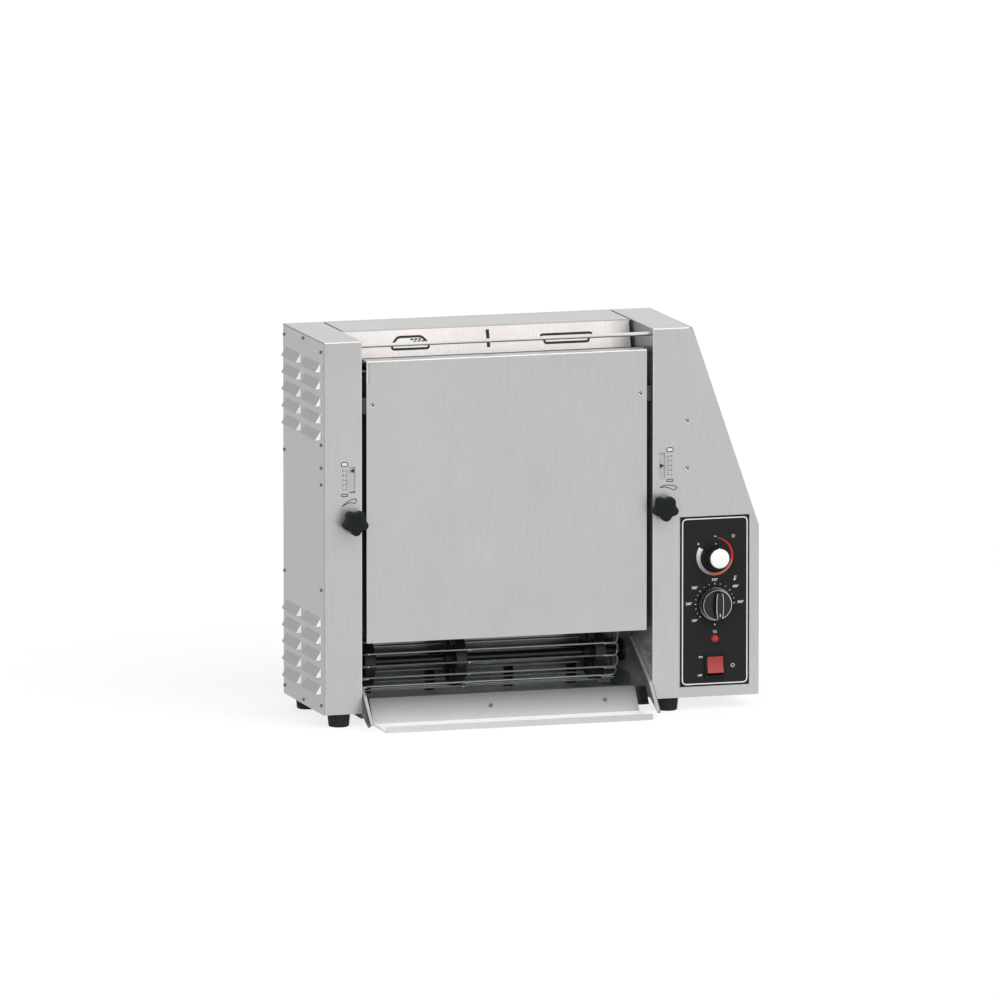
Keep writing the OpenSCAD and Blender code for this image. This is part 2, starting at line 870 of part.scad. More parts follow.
// Belt wheels with a flat hub on each side
module drum_wheels(z) {
    color("darkslategray")
        for (x = [belt_l + wheel_in, link_mid - link_clear - wheel_w, belt_r_x - wheel_in - wheel_w])
            difference() {
                union() {
                    rod_x(x, x + wheel_w, drum_d, z, drum_r);
                    rod_x(x - wheel_hub, x + wheel_w + wheel_hub, drum_d, z, shaft_r * 2);
                }
                rod_x(x - wheel_hub - 1, x + wheel_w + wheel_hub + 1, drum_d, z, shaft_r + seat_fit);
                for (i = [0:4])
                    rod_x(x - 1, x + wheel_w + 1, drum_d + drum_r * 0.66 * cos(72 * i),
                        z + drum_r * 0.66 * sin(72 * i), drum_r * 0.2);
            }
}

module shaft_bushes() {
    color("peru")
        for (z = [low_drum_z, high_drum_z], side = [0, 1]) {
            face = side == 0 ? lane_l : lane_r;
            out = side == 0 ? -1 : 1;
            lane_side = face - out * bush_flange_t;
            far = face + out * (bush_len - bush_flange_t);
            difference() {
                union() {
                    rod_x(min(face, far), max(face, far), drum_d, z, bush_r);
                    rod_x(min(face, lane_side), max(face, lane_side), drum_d, z, bush_flange_r);
                }
                rod_x(min(lane_side, far) - 1, max(lane_side, far) + 1, drum_d, z, shaft_r + run_fit);
            }
        }
}

// A chain wheel with a round rim and a hub
module chain_wheel(z, bore_r) {
    color("darkgray")
        difference() {
            union() {
                rod_x(drive_x, drive_x + drive_w, drum_d, z, drive_r);
                rod_x(drive_x + drive_w - eps, drive_x + 2 * drive_w, drum_d, z, bore_r * 2);
            }
            rod_x(drive_x - 1, drive_x + 2 * drive_w + 1, drum_d, z, bore_r + seat_fit);
            for (i = [0:3])
                rod_x(drive_x - 1, drive_x + drive_w + 1, drum_d + drive_r * 0.66 * cos(90 * i),
                    z + drive_r * 0.66 * sin(90 * i), drive_r * 0.16);
        }
}

module drive_chain() {
    inner = drive_r + clear;
    color("dimgray")
        translate([x0 + drive_x, y0, foot_h])
            rotate([90, 0, 90])
                linear_extrude(drive_w)
                    difference() {
                        chain_outline(inner + chain_t);
                        chain_outline(inner);
                    }
}

// Side outline of the chain around both wheels
module chain_outline(r) {
    for (z = [low_drum_z, motor_z])
        translate([drum_d, z])
            circle(r = r);
    translate([drum_d - r, low_drum_z])
        square([2 * r, motor_z - low_drum_z]);
}

// Motor, gearbox and the bracket that hangs them on the tower's inner wall
module gear_motor() {
    half = gearbox_half;
    bracket_top = motor_z + half;
    box_end = gearbox_x + gearbox_len;
    color("darkslategray")
        difference() {
            union() {
                block([gearbox_x, drum_d - half, motor_z - half], [box_end, drum_d + half, motor_z + half]);
                rod_x(box_end - eps, motor_end_x, drum_d, motor_z, motor_r);
                block([lane_r + sheet, drum_d - half, bracket_top - eps],
                    [box_end, drum_d + half, bracket_top + motor_leaf_t]);
                block([lane_r + sheet, drum_d - half, bracket_top],
                    [lane_r + sheet + motor_leaf_t, drum_d + half, bracket_top + motor_leaf_h]);
            }
            rod_x(gearbox_x - 1, gearbox_x + gearbox_len / 2, drum_d, motor_z, motor_shaft_r + run_fit);
        }
}

// Motor wheel with the output shaft that it sits on
module motor_sprocket() {
    chain_wheel(motor_z, motor_shaft_r);
    color("gainsboro")
        rod_x(drive_x, gearbox_x + gearbox_len / 2 - clear, drum_d, motor_z, motor_shaft_r + 2 * seat_fit);
}

// Pan under the belt that holds the crumbs
module crumb_pan() {
    line = [[pan_back_d, pan_h], [pan_back_d, pan_z], [pan_front_d, pan_z], under_hump];
    slot_low = pan_z + 4;
    color("silver")
        difference() {
            union() {
                profile_x(lane_l + sheet, lane_r - sheet, folded(line, -sheet));
                for (x = [lane_l, lane_r - sheet - eps])
                    block([x, cheek_d + clear, pan_z], [x + sheet + eps, pan_back_d, pan_side_h]);
            }
            chute_screw_holes();
            for (x = pan_slot_x)
                block([lane_mid + x - pan_slot_w / 2, pan_back_d - 2 * sheet, slot_low],
                    [lane_mid + x + pan_slot_w / 2, pan_back_d + 2 * sheet, slot_low + pan_slot_h]);
        }
}

// Place on the chute's slope, turned so that the local axis stands square to it
module on_slope(x) {
    rise = hump_z - tray_z;
    run = hump_d - hump_foot_d;
    d = hump_foot_d + run * chute_screw_at;
    z = tray_z + rise * chute_screw_at;
    translate([x0 + lane_mid + x, y0 + d, foot_h + z])
        rotate([atan2(rise, run), 0, 0])
            children();
}

module exit_chute() {
    color("lightgray")
        difference() {
            profile_x(lane_l + chute_margin, lane_r - chute_margin, folded(chute_line, sheet));
            chute_screw_holes();
        }
}

// Holes through the chute's slope and the pan's front behind it
module chute_screw_holes() {
    for (x = chute_screw_x)
        on_slope(x)
            translate([0, 0, -4 * sheet])
                cylinder(r = thread_r + clear / 2, h = 6 * sheet);
}

module chute_screws() {
    color("dimgray")
        for (x = chute_screw_x)
            on_slope(x) {
                cylinder(r = side_head_r, h = head_h);
                translate([0, 0, -3 * sheet])
                    cylinder(r = thread_r, h = 3 * sheet + eps);
            }
}

// Side plates that lead the buns out, on the inner walls of the towers
module exit_cheeks() {
    outline = [[cheek_d, cheek_z], [cheek_bend_d, cheek_bend_z], [-cheek_out, cheek_tip_z],
        [cheek_tip_w - cheek_out, cheek_tip_z - cheek_tip_h], [cheek_low_d, cheek_low_z],
        [cheek_d, cheek_z - cheek_h]];
    color("silver")
        for (x = [lane_l, lane_r - sheet])
            profile_x(x, x + sheet, outline);
}

// Opening for the power switch
module switch_cut(d1, d2) {
    block([panel_x - rocker_w / 2 - 1.5, d1, switch_z - rocker_h / 2 - 1.5],
        [panel_x + rocker_w / 2 + 1.5, d2, switch_z + rocker_h / 2 + 1.5]);
}

module control_plate() {
    color("black")
        difference() {
            block([panel_x - panel_w / 2, -panel_t, panel_z], [panel_x + panel_w / 2, 0, panel_z + panel_h]);
            for (z = [speed_z, thermo_z])
                rod_y(-panel_t - 1, 1, panel_x, z, spindle_r + clear);
            rod_y(-panel_t - 1, 1, panel_x, lamp_z, lens_r + clear);
            switch_cut(-panel_t - 1, 1);
        }
}

// Fluted knob with its spindle
module speed_knob() {
    base = -panel_t - clear;
    grip_r = speed_r - grip_in;
    ring_r = grip_r + flute_r / 2;
    color("black") {
        rod_y(base - skirt_h, base, panel_x, speed_z, speed_r);
        difference() {
            rod_y(base - speed_h, base - skirt_h + eps, panel_x, speed_z, grip_r);
            for (i = [0:flute_count - 1])
                rod_y(base - speed_h + skirt_h, base - skirt_h,
                    panel_x + ring_r * cos(360 * i / flute_count),
                    speed_z + ring_r * sin(360 * i / flute_count), flute_r);
        }
        rod_y(base - eps, spindle_len, panel_x, speed_z, spindle_r);
    }
}

module speed_knob_cap() {
    base = -panel_t - clear - speed_h;
    color("white")
        rod_y(base - speed_cap_t, base, panel_x, speed_z, speed_r - speed_cap_in);
}

// Case of a rotary control behind the tower front
module control_case(z, w, h, d) {
    difference() {
        block([panel_x - w / 2, sheet, z - h / 2], [panel_x + w / 2, sheet + d, z + h / 2]);
        rod_y(0, spindle_hole, panel_x, z, spindle_r + run_fit);
    }
}

module speed_control() {
    color("dimgray")
        control_case(speed_z, 30, 30, 16);
}

module thermostat_body() {
    color("darkgray")
        control_case(thermo_z, 44, 40, 28);
}

// Skirted knob with a raised grip bar
module thermostat_knob() {
    base = -panel_t - clear;
    half = thermo_bar_w / 2;
    color("gray") {
        rod_y(base - skirt_h, base, panel_x, thermo_z, thermo_r);
        rod_y(base - thermo_face_h, base - skirt_h + eps, panel_x, thermo_z, thermo_r - grip_in);
        intersection() {
            rod_y(base - thermo_bar_h, base - thermo_face_h + eps, panel_x, thermo_z,
                thermo_r - thermo_bar_in);
            block([panel_x - half, base - thermo_bar_h - 1, thermo_z - thermo_r],
                [panel_x + half, base, thermo_z + thermo_r]);
        }
        rod_y(base - eps, spindle_len, panel_x, thermo_z, spindle_r);
    }
}

module lamp_lens() {
    color("red") {
        intersection() {
            translate([x0 + panel_x, y0 - panel_t, foot_h + lamp_z])
                sphere(r = lens_r);
            rod_y(-panel_t - lens_r, -panel_t, panel_x, lamp_z, lens_r - seat_fit);
        }
        rod_y(-panel_t - eps, lens_tail, panel_x, lamp_z, lens_r - seat_fit);
    }
}

module lamp_body() {
    color("dimgray")
        difference() {
            rod_y(sheet, lamp_len, panel_x, lamp_z, lens_r + lamp_wall);
            rod_y(0, lens_tail, panel_x, lamp_z, lens_r);
        }
}

// Bezel and body of the power switch, with the hollow that the rocker turns in
module switch_bezel() {
    color("black")
        difference() {
            union() {
                block([panel_x - bezel_w / 2, -panel_t - bezel_t, switch_z - bezel_h / 2],
                    [panel_x + bezel_w / 2, -panel_t, switch_z + bezel_h / 2]);
                block([panel_x - rocker_w / 2 - 1.4, -panel_t - eps, switch_z - rocker_h / 2 - 1.4],
                    [panel_x + rocker_w / 2 + 1.4, switch_body_d, switch_z + rocker_h / 2 + 1.4]);
            }
            block([panel_x - rocker_w / 2 - clear, -panel_t - bezel_t - 1, switch_z - rocker_h / 2 - clear],
                [panel_x + rocker_w / 2 + clear, switch_body_d - 4, switch_z + rocker_h / 2 + clear]);
        }
}

// Rocker with a hollowed front, set over to its on side, on a round pivot
module switch_rocker() {
    half = rocker_h / 2 - 1.4;
    front = -panel_t - bezel_t - 2.5;
    color("firebrick")
        translate([x0 + panel_x, y0 + rocker_axis_d, foot_h + switch_z])
            rotate([-rocker_tilt, 0, 0])
                difference() {
                    union() {
                        translate([-rocker_w / 2, front - rocker_axis_d, -half])
                            cube([rocker_w, rocker_axis_d - front + 3, 2 * half]);
                        translate([-rocker_w / 2 - clear + run_fit, 0, 0])
                            rotate([0, 90, 0])
                                cylinder(r = 2, h = rocker_w + 2 * clear - 2 * run_fit);
                    }
                    translate([-rocker_w / 2 - 1, front - rocker_axis_d - 21, 0])
                        rotate([0, 90, 0])
                            cylinder(r = 23, h = rocker_w + 2);
                }
}

module control_board() {
    x1 = lane_r + board_in;
    lug_d = 3 * sheet;
    color("darkgreen")
        difference() {
            union() {
                block([x1, lug_d + lug_t, tower_screws[0][1] - board_over],
                    [x1 + board_t, body_d / 2, tower_screws[1][1] + board_over]);
                for (s = tower_screws)
                    block([x1, lug_d, s[1] - lug_half],
                        [s[0] + lug_half, lug_d + lug_t + eps, s[1] + lug_half]);
                for (s = tower_screws)
                    block([s[0] - lug_half, sheet, s[1] - lug_half],
                        [s[0] + lug_half, lug_d + eps, s[1] + lug_half]);
            }
            for (s = tower_screws)
                screw_hole_y(sheet - 1, 4 * sheet + 1, s[0], s[1]);
        }
}

module cord_gland() {
    color("black")
        difference() {
            union() {
                rod_y(body_d, body_d + gland_out / 3, panel_x, gland_z, gland_r + gland_rim);
                rod_y(body_d + gland_out / 3 - eps, body_d + gland_out, panel_x, gland_z, gland_r);
                rod_y(body_d - 3 * sheet, body_d + eps, panel_x, gland_z, gland_neck_r - seat_fit);
            }
            rod_y(body_d - 4 * sheet, body_d + gland_out + 1, panel_x, gland_z, gland_bore_r);
        }
}

// Rubber feet with a rounded rim and a screw recess
module feet() {
    rim = 2;
    recess_r = 5;
    color("black")
        for (x = [foot_in, lane_r + foot_in], d = [foot_from_end, body_d - foot_from_end])
            translate([x0 + x, y0 + d, 0])
                rotate_extrude()
                    polygon(concat([[0, 6], [recess_r, 6], [recess_r, 0]],
                        [for (a = [-90:15:0]) [foot_base_r - rim + rim * cos(a), rim + rim * sin(a)]],
                        [[foot_top_r, foot_h], [0, foot_h]]));
}

left_tower_shell();
left_side_cover();
right_tower_front();
right_tower_wall();
right_tower_back();
right_tower_ends();
right_side_cover();
side_cover_screws();
front_screws();
rear_rails();
rear_panel();
rear_panel_screws();
top_hood();
bun_slide();
front_cover();
cover_brackets();
guide_rod();
platen_frame();
platen(0);  // left_platen
platen(1);  // right_platen
heater(0);  // left_heater
heater(1);  // right_heater
platen_nut(0);  // left_platen_nut
platen_nut(1);  // right_platen_nut
platen_pins(0);  // left_platen_pins
platen_pins(1);  // right_platen_pins
star_knob(0);  // left_star_knob
star_knob(1);  // right_star_knob
adjuster_screw(0);  // left_adjuster_screw
adjuster_screw(1);  // right_adjuster_screw
pointer(0);  // left_pointer
pointer(1);  // right_pointer
pointer_guides();
wire_belt();
drum_shaft(high_drum_z, lane_r + bush_len);  // upper_drum_shaft
drum_shaft(low_drum_z, drive_x + 2 * drive_w + shaft_tail);  // lower_drum_shaft
drum_wheels(high_drum_z);  // upper_drum_wheels
drum_wheels(low_drum_z);  // lower_drum_wheels
shaft_bushes();
chain_wheel(low_drum_z, shaft_r);  // driven_sprocket
motor_sprocket();
drive_chain();
gear_motor();
crumb_pan();
exit_chute();
chute_screws();
exit_cheeks();
control_plate();
speed_knob();
speed_knob_cap();
speed_control();
thermostat_knob();
thermostat_body();
lamp_lens();
lamp_body();
switch_bezel();
switch_rocker();
control_board();
cord_gland();
feet();
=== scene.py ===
"""Looks of the vertical conveyor bun toaster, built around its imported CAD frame."""

import math

import bmesh
import bpy
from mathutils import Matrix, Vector
from mathutils.bvhtree import BVHTree


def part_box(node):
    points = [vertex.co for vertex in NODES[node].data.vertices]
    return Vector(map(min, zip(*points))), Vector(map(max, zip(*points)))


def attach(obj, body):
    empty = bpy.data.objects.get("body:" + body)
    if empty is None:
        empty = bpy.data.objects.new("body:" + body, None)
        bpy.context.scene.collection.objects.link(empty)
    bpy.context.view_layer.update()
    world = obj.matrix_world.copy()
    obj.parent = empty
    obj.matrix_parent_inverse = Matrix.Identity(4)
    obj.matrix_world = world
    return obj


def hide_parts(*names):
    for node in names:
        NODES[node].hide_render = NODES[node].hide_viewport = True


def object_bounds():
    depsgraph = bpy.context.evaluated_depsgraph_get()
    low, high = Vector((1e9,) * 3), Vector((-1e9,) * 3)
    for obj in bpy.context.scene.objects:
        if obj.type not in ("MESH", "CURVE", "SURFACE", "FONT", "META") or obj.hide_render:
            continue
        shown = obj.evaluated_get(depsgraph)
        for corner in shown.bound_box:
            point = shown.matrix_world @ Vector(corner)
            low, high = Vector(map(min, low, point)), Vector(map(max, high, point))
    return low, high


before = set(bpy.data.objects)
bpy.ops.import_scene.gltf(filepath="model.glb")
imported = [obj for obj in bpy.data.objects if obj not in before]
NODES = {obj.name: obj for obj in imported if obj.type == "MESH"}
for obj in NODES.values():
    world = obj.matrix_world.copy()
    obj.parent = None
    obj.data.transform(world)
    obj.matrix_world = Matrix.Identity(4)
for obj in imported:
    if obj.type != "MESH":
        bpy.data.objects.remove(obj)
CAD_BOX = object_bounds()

# Frame: places are millimetres across, back and up from the left tower's lower front corner
MM = 0.001
ACROSS, BACK, UP = range(3)
SHEET = 1.2
LANE_LEFT = 50.0
LANE_RIGHT = 430.0
LANE_MID = 240.0
BODY_DEPTH = 180.0
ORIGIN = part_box("left_tower_shell")[0] - Vector((SHEET * MM, 0, 0))

# Camera, from the photograph's near-parallel view
CAMERA_AZIMUTH = math.radians(-16.86)
CAMERA_ELEVATION = math.radians(8.82)
CAMERA_TARGET = Vector((-0.05265, -0.069, 0.2796))
CAMERA_DISTANCE = 20.0
CAMERA_LENS = 576.0
CAMERA_SENSOR = 36.0
CAMERA_FAR = 200.0

# Light: suns have an azimuth, an elevation and a strength
WORLD_DIFFUSE = 0.5
FLOOR_COLOUR = (0.3, 0.3, 0.3, 1)
FLOOR_LIFT = 0.76
FLOOR_HALF = 60.0
KEY_SUN = (25, 40, 1.5)
FILL_SUN = (-30, 15, 0.9)
SUN_SPREAD = math.radians(50)

# Modelling
SHARP_ANGLE = math.radians(40)
BEVEL_ANGLE = math.radians(24)
FLAT_ANGLE = math.radians(1)
MERGE = 1e-6
CLOSE_MERGE = 1e-7
RAY_START = -200.0

# Folds and seams: painted highlight strips along folds, and dark seams
FOLD_Z = 469.3
FOLD_W = 1.1
FOLD_IN = 0.8
FOLD_END = 0.6
LEFT_FOLD_END = 2.0
EDGE_END = 1.0
COVER_FOLD_W = 2.0
COVER_FOLD_IN = 1.6
COVER_FOLD_END = 2.0
HOOD_FOLD_W = 1.9
HOOD_FOLD_IN = 1.0
HOOD_FOLD_END = 1.5
RIGHT_TOP = 478.0
COVER_SEAM = 27.0
SEAM_W = 0.6
SEAM_IN = 3.2
SEAM_END = 1.6
SEAM_HOOK = (0.9, 1.2)
SIDE_SEAM_W = 0.8
EDGE_SEAM_W = 0.3
EDGE_SEAM_IN = 1.5

# Prints
PRINT_LIFT = 0.12
PRINT_SINK = 0.05
CAP_SHARE = 0.72
LETTER_WEIGHT = 0.035

# Star knobs: profiles of knobs are pairs of rise from the base and radius
STAR_SIDES = 100
STAR_REACH = 16.5
STAR_LOBES = 5
STAR_VALLEY = 3.7
STAR_POWER = 1.2
STAR_BASE = -7.0
STAR_PROFILE = (
    (0, 14.3), (0.5, 15.6), (1.6, 16.4), (3, 16.5), (12, 16.2), (13.6, 15.8), (14.4, 14.9), (14.8, 13.5),
    (15, 11.5), (15, 6.2), (14.65, 5.7), (14.65, 1.0),
)
HUB_SIDES = 48
STAR_HUB = ((1, 8.5), (-1, 8.5), (-4.6, 8.1), (-5.4, 7.3))
ADJUST_X = {"left": 37.5, "right": 442.5}
ADJUST_Z = 244.0

# Scale windows and pointers
POINTER_TOP = 307.75
POINTER_TRAVEL = 23.5
POINTER_DROP = {"left": 0.0, "right": POINTER_TRAVEL / 2}
POINTER_HALF = 2.8
POINTER_FACE = 0.5

# Control panel
PANEL_X = 511.5
PANEL_LOW = 13.5
PANEL_HIGH = 229.5
PANEL_HALF = 45.5
PANEL_FACE = -1.0
SPEED_Z = 178.0
THERMO_Z = 118.0
KNOB_BASE = -1.3

# Speed knob
SKIRT_SIDES = 72
GRIP_SIDES = 144
CAP_SIDES = 64
SPEED_SKIRT = ((0, 17.6), (0.4, 18.0), (3.0, 18.0), (3.6, 17.7), (4.0, 17.0), (4.0, 12.0))
SPEED_GRIP = ((3.5, 15.6), (4.6, 15.3), (18.0, 14.6), (19.2, 14.2), (19.8, 13.4), (20.0, 12.6), (20.0, 4.0))
SPEED_CAP = ((19.9, 12.3), (21.2, 12.3), (21.7, 12.0), (22.0, 11.3), (22.1, 6.0), (22.15, 1.0))
SPEED_MARKS = ((4.0, 15.9, 17.2, 1.2), (20.0, 12.5, 13.6, 1.0))
FLUTES = 12
FLUTE_DEPTH = 1.1

# Thermostat knob: its grip bar has sections of rise, half width and half length
THERMO_SIDES = 96
BAR_SIDES = 40
THERMO_SKIRT = ((0, 21.8), (0.3, 22.0), (2.6, 22.0), (4.0, 21.2), (4.0, 17.0))
THERMO_FACE = ((3.8, 19.0), (10.8, 18.6), (11.6, 18.2), (12.0, 17.4), (12.0, 4.0))
THERMO_BAR = ((11.5, 4.9, 18.2), (20.0, 4.5, 17.6), (22.2, 4.1, 16.8), (22.9, 3.3, 15.8))
THERMO_MARK = (22.9, -13.5, -9.5, 0.9)
BAR_SIDE_POWER = 0.35
BAR_END_POWER = 0.8
TRIM_RING_RISE = 11.8
TRIM_RING_R = 18.4
TRIM_RING_WIRE = 0.45
TRIM_EDGE_RISE = 22.3
TRIM_EDGE_HALF = 4.4
TRIM_EDGE_LENGTH = 16.6
TRIM_EDGE_WIRE = 0.4
TRIM_EDGE_ANGLES = range(-70, 71, 10)

# Belt
BELT_LEFT = 68.0
BELT_RIGHT = 412.0
BELT_LINK = 217.0
BELT_WIRES = 58
WIRE_R = 1.2
DRUM_D = 128.2
DRUM_LOW = 43.0
DRUM_HIGH = 385.0
BELT_R = 36.0
HOOK_IN = 16.0
LOOP_CUT = 4.0
LOOP_BEND = 0.3
HOOK_LIFT = 2.2 * WIRE_R
HOOK_EARLY = 0.3 * HOOK_LIFT
HOOK_LATE = 0.8 * HOOK_LIFT
KNUCKLE_R = 1.9
KNUCKLE_HALF = 1.6
KNUCKLE_SIDES = 10

# Exit chute and cheeks
CHUTE_FRONT = (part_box("exit_chute")[0].y - ORIGIN.y) / MM
PAN_FRONT = (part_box("crumb_pan")[0].y - ORIGIN.y) / MM
HUMP_D = 24.0
# The tray constants place a painted highlight plate on the tray floor
TRAY_FOOT = 4.0
TRAY_RISE = 2.0
TRAY_IN = 0.5
TRAY_GAP = 0.6
CHEEK_EDGE = ((80.0, 67.9), (-2.0, 22.0), (-34.0, -9.1))
CHEEK_FLANGE = 4.0
CHEEK_FLANGE_T = 1.0

# Screws: a head's dome is pairs of radius share and rise share
SCREW_RISE = 1.6
SHANK_LENGTH = 3.4
SHANK_R = 1.4
SHANK_SIDES = 12
SHANK_GAP = 0.02
SCREW_DOME = ((1.0, 0.0), (1.0, 0.3), (0.94, 0.6), (0.84, 0.8), (0.76, 0.9))
CROSS_REACH = 0.62
CROSS_HALF = 0.2
CROSS_RECESS = (1.0, 0.6)
CROSS_FLOOR = (0.55, 0.8)
SCREW_SIDES = 40

# Louvres, and the painted glints on their front ends
LOUVRE_FRONTS = (13.0, 101.0)
LOUVRE_LOWS = (25.0, 346.0)
LOUVRE_PITCH = 21.4
LOUVRE_COUNT = 5
LOUVRE_H = 11.0
LOUVRE_OUT = 6.5
LOUVRE_END = (-0.15, 0.05)


def place(across, depth, height):
    """A point in metres from millimetres across, back and up."""
    return ORIGIN + Vector((across, depth, height)) * MM


def corners(box):
    """A box's lowest and highest corners, in millimetres from the origin."""
    return [[(c - o) / MM for c, o in zip(corner, ORIGIN)] for corner in box]


def turns(count, start=0.0):
    """Equally spaced angles round a full turn."""
    return [start + math.tau * i / count for i in range(count)]


def neighbours(path, i, closed):
    """The points behind and ahead of one of a path; an open path's ends stand in for what is missing."""
    behind = path[i - 1] if closed or i > 0 else path[i]
    ahead = path[(i + 1) % len(path)] if closed or i < len(path) - 1 else path[i]
    return behind, ahead


def upright(depth, across=0.0, height=0.0):
    """Maps (across, height, lift) to a point over an upright face, counted from a place on it."""
    return lambda u, v, lift: place(across + u, depth - lift, height + v)


def face_of(node):
    """Maps (across, height, lift) to a point over the node's face as it is met from the front."""
    solid = BVHTree.FromObject(NODES[node], bpy.context.evaluated_depsgraph_get())

    def on_face(across, height, lift):
        hit, normal, _, _ = solid.ray_cast(place(across, RAY_START, height), Vector((0, 1, 0)))
        if normal.y > 0:
            normal = -normal
        return hit + normal * lift * MM

    return on_face


def in_scene(name, data):
    """A new object in the scene."""
    made = bpy.data.objects.new(name, data)
    bpy.context.scene.collection.objects.link(made)
    return made


class Shape:
    """Gathers closed surfaces into one mesh."""

    def __init__(self):
        self.points = []
        self.faces = []

    def add(self, points, faces):
        start = len(self.points)
        self.points.extend(points)
        self.faces.extend([start + i for i in face] for face in faces)

    def loft(self, rings, closed=False):
        """Joins rings of equally many points, with caps on the two ends of an open row."""
        count = len(rings[0])
        rows = len(rings)
        faces = []
        for row in range(rows if closed else rows - 1):
            a = row * count
            b = (row + 1) % rows * count
            for i in range(count):
                j = (i + 1) % count
                faces.append((a + i, a + j, b + j, b + i))
        if not closed:
            faces.append(range(count))
            faces.append(range((rows - 1) * count, rows * count))
        self.add([point for ring in rings for point in ring], faces)

    def tube(self, path, radius, sides=8, closed=False):
        """A round bar along a path of points."""
        rings = []
        normal = None
        for i, point in enumerate(path):
            behind, ahead = neighbours(path, i, closed)
            along = (ahead - behind).normalized()
            if normal is None:
                normal = along.orthogonal()
            normal = (normal - along * normal.dot(along)).normalized()
            side = along.cross(normal)
            ring = []
            for t in turns(sides):
                ring.append(point + (normal * math.cos(t) + side * math.sin(t)) * radius * MM)
            rings.append(ring)
        self.loft(rings, closed)

    def turned(self, across, height, base, profile, sides, outline=None):
        """A knob about an axis that runs back; outline bends the profile's radius round the turn."""
        rings = []
        for rise, radius in profile:
            ring = []
            for t in turns(sides):
                reach = outline(t, radius) if outline else radius
                ring.append(place(across + reach * math.cos(t), base - rise, height + reach * math.sin(t)))
            rings.append(ring)
        self.loft(rings)

    def prism(self, outline, on_face, high=PRINT_LIFT):
        """A plate over a face, from an outline of (across, height) pairs."""
        self.loft([[on_face(u, v, lift) for u, v in outline] for lift in (-PRINT_SINK, high)])

    def ribbon(self, path, width, on_face, closed=False):
        """A line of print along (across, height) pairs; width is one number or one for each pair."""
        widths = [width] * len(path) if isinstance(width, (int, float)) else width
        rings = []
        for i, (u, v) in enumerate(path):
            behind, ahead = neighbours(path, i, closed)
            along = Vector((ahead[0] - behind[0], ahead[1] - behind[1])).normalized()
            off_u = -along.y * widths[i] / 2
            off_v = along.x * widths[i] / 2
            rings.append([
                on_face(u + off_u, v + off_v, -PRINT_SINK), on_face(u - off_u, v - off_v, -PRINT_SINK),
                on_face(u - off_u, v - off_v, PRINT_LIFT), on_face(u + off_u, v + off_v, PRINT_LIFT),
            ])
        self.loft(rings, closed)

    def lettering(self, words, on_face, across, height, cap):
        """Printed figures, centred on a place of a face."""
        curve = bpy.data.curves.new("lettering", "FONT")
        curve.body = words
        curve.align_x = "CENTER"
        curve.align_y = "CENTER"
        curve.size = cap / CAP_SHARE
        curve.extrude = 1.0
        curve.offset = LETTER_WEIGHT * cap
        curve.resolution_u = 3
        holder = in_scene("lettering", curve)
        bpy.context.view_layer.update()
        shown = holder.evaluated_get(bpy.context.evaluated_depsgraph_get())
        mesh = bpy.data.meshes.new_from_object(shown)
        points = []
        for vertex in mesh.vertices:
            lift = PRINT_LIFT if vertex.co.z > 0 else -PRINT_SINK
            points.append(on_face(across + vertex.co.x, height + vertex.co.y, lift))
        self.add(points, [list(face.vertices) for face in mesh.polygons])
        bpy.data.objects.remove(holder)
        bpy.data.meshes.remove(mesh)
        bpy.data.curves.remove(curve)

    def build(self, name, look, body, slot, *replaced, smooth=True):
        """Makes the piece: a closed mesh with its material, on its body."""
        mesh = bpy.data.meshes.new(name)
        mesh.from_pydata(self.points, [], [list(face) for face in self.faces])
        work = bmesh.new()
        work.from_mesh(mesh)
        bmesh.ops.remove_doubles(work, verts=work.verts, dist=CLOSE_MERGE)
        bmesh.ops.recalc_face_normals(work, faces=work.faces)
        work.to_mesh(mesh)
        work.free()
        if smooth:
            mesh.polygons.foreach_set("use_smooth", [True] * len(mesh.polygons))
            mesh.set_sharp_from_angle(angle=SHARP_ANGLE)
        mesh.materials.append(LOOKS[look])
        made = in_scene(name, mesh)
        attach(made, body)
        if replaced:
            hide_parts(*replaced)


# Materials: a grain is repeats per metre, one number or one for each axis

BRUSH_UP = (600, 600, 35)
BRUSH_BACK = (900, 9, 900)
BRUSH_ACROSS = (9, 900, 900)
BRUSH_STREAK = (7, 260, 260)
BRUSH_SHORT = (420, 420, 30)
WIRE_GRAIN = (60, 900, 900)
MOTTLE = 9
NOISE_DETAIL = 3.0
COLOUR_SPAN = (0.35, 0.65)
ROUGH_SPAN = (0.3, 0.7)
ROUGH_LEAST = 0.02
BUMP_DEPTH = 0.0001
LOOKS = {}


def noise(tree, where, grain):
    """A noise value with its own stretch along each axis."""
    stretch = tree.nodes.new("ShaderNodeMapping")
    stretch.inputs["Scale"].default_value = grain if isinstance(grain, tuple) else (grain, grain, grain)
    tree.links.new(where, stretch.inputs["Vector"])
    made = tree.nodes.new("ShaderNodeTexNoise")
    made.inputs["Scale"].default_value = 1.0
    made.inputs["Detail"].default_value = NOISE_DETAIL
    tree.links.new(stretch.outputs["Vector"], made.inputs["Vector"])
    return made.outputs[0]


def reckoned(tree, operation, first, second, clamp=False):
    """The result of a sum or a product; second is a value of the tree or a number."""
    made = tree.nodes.new("ShaderNodeMath")
    made.operation = operation
    made.use_clamp = clamp
    tree.links.new(first, made.inputs[0])
    if isinstance(second, float):
        made.inputs[1].default_value = second
    else:
        tree.links.new(second, made.inputs[1])
    return made.outputs[0]


def moved(tree, value, before, after):
    """A value moved from one span to another."""
    made = tree.nodes.new("ShaderNodeMapRange")
    for name, limit in zip(("From Min", "From Max", "To Min", "To Max"), (*before, *after)):
        made.inputs[name].default_value = limit
    tree.links.new(value, made.inputs["Value"])
    return made.outputs["Result"]


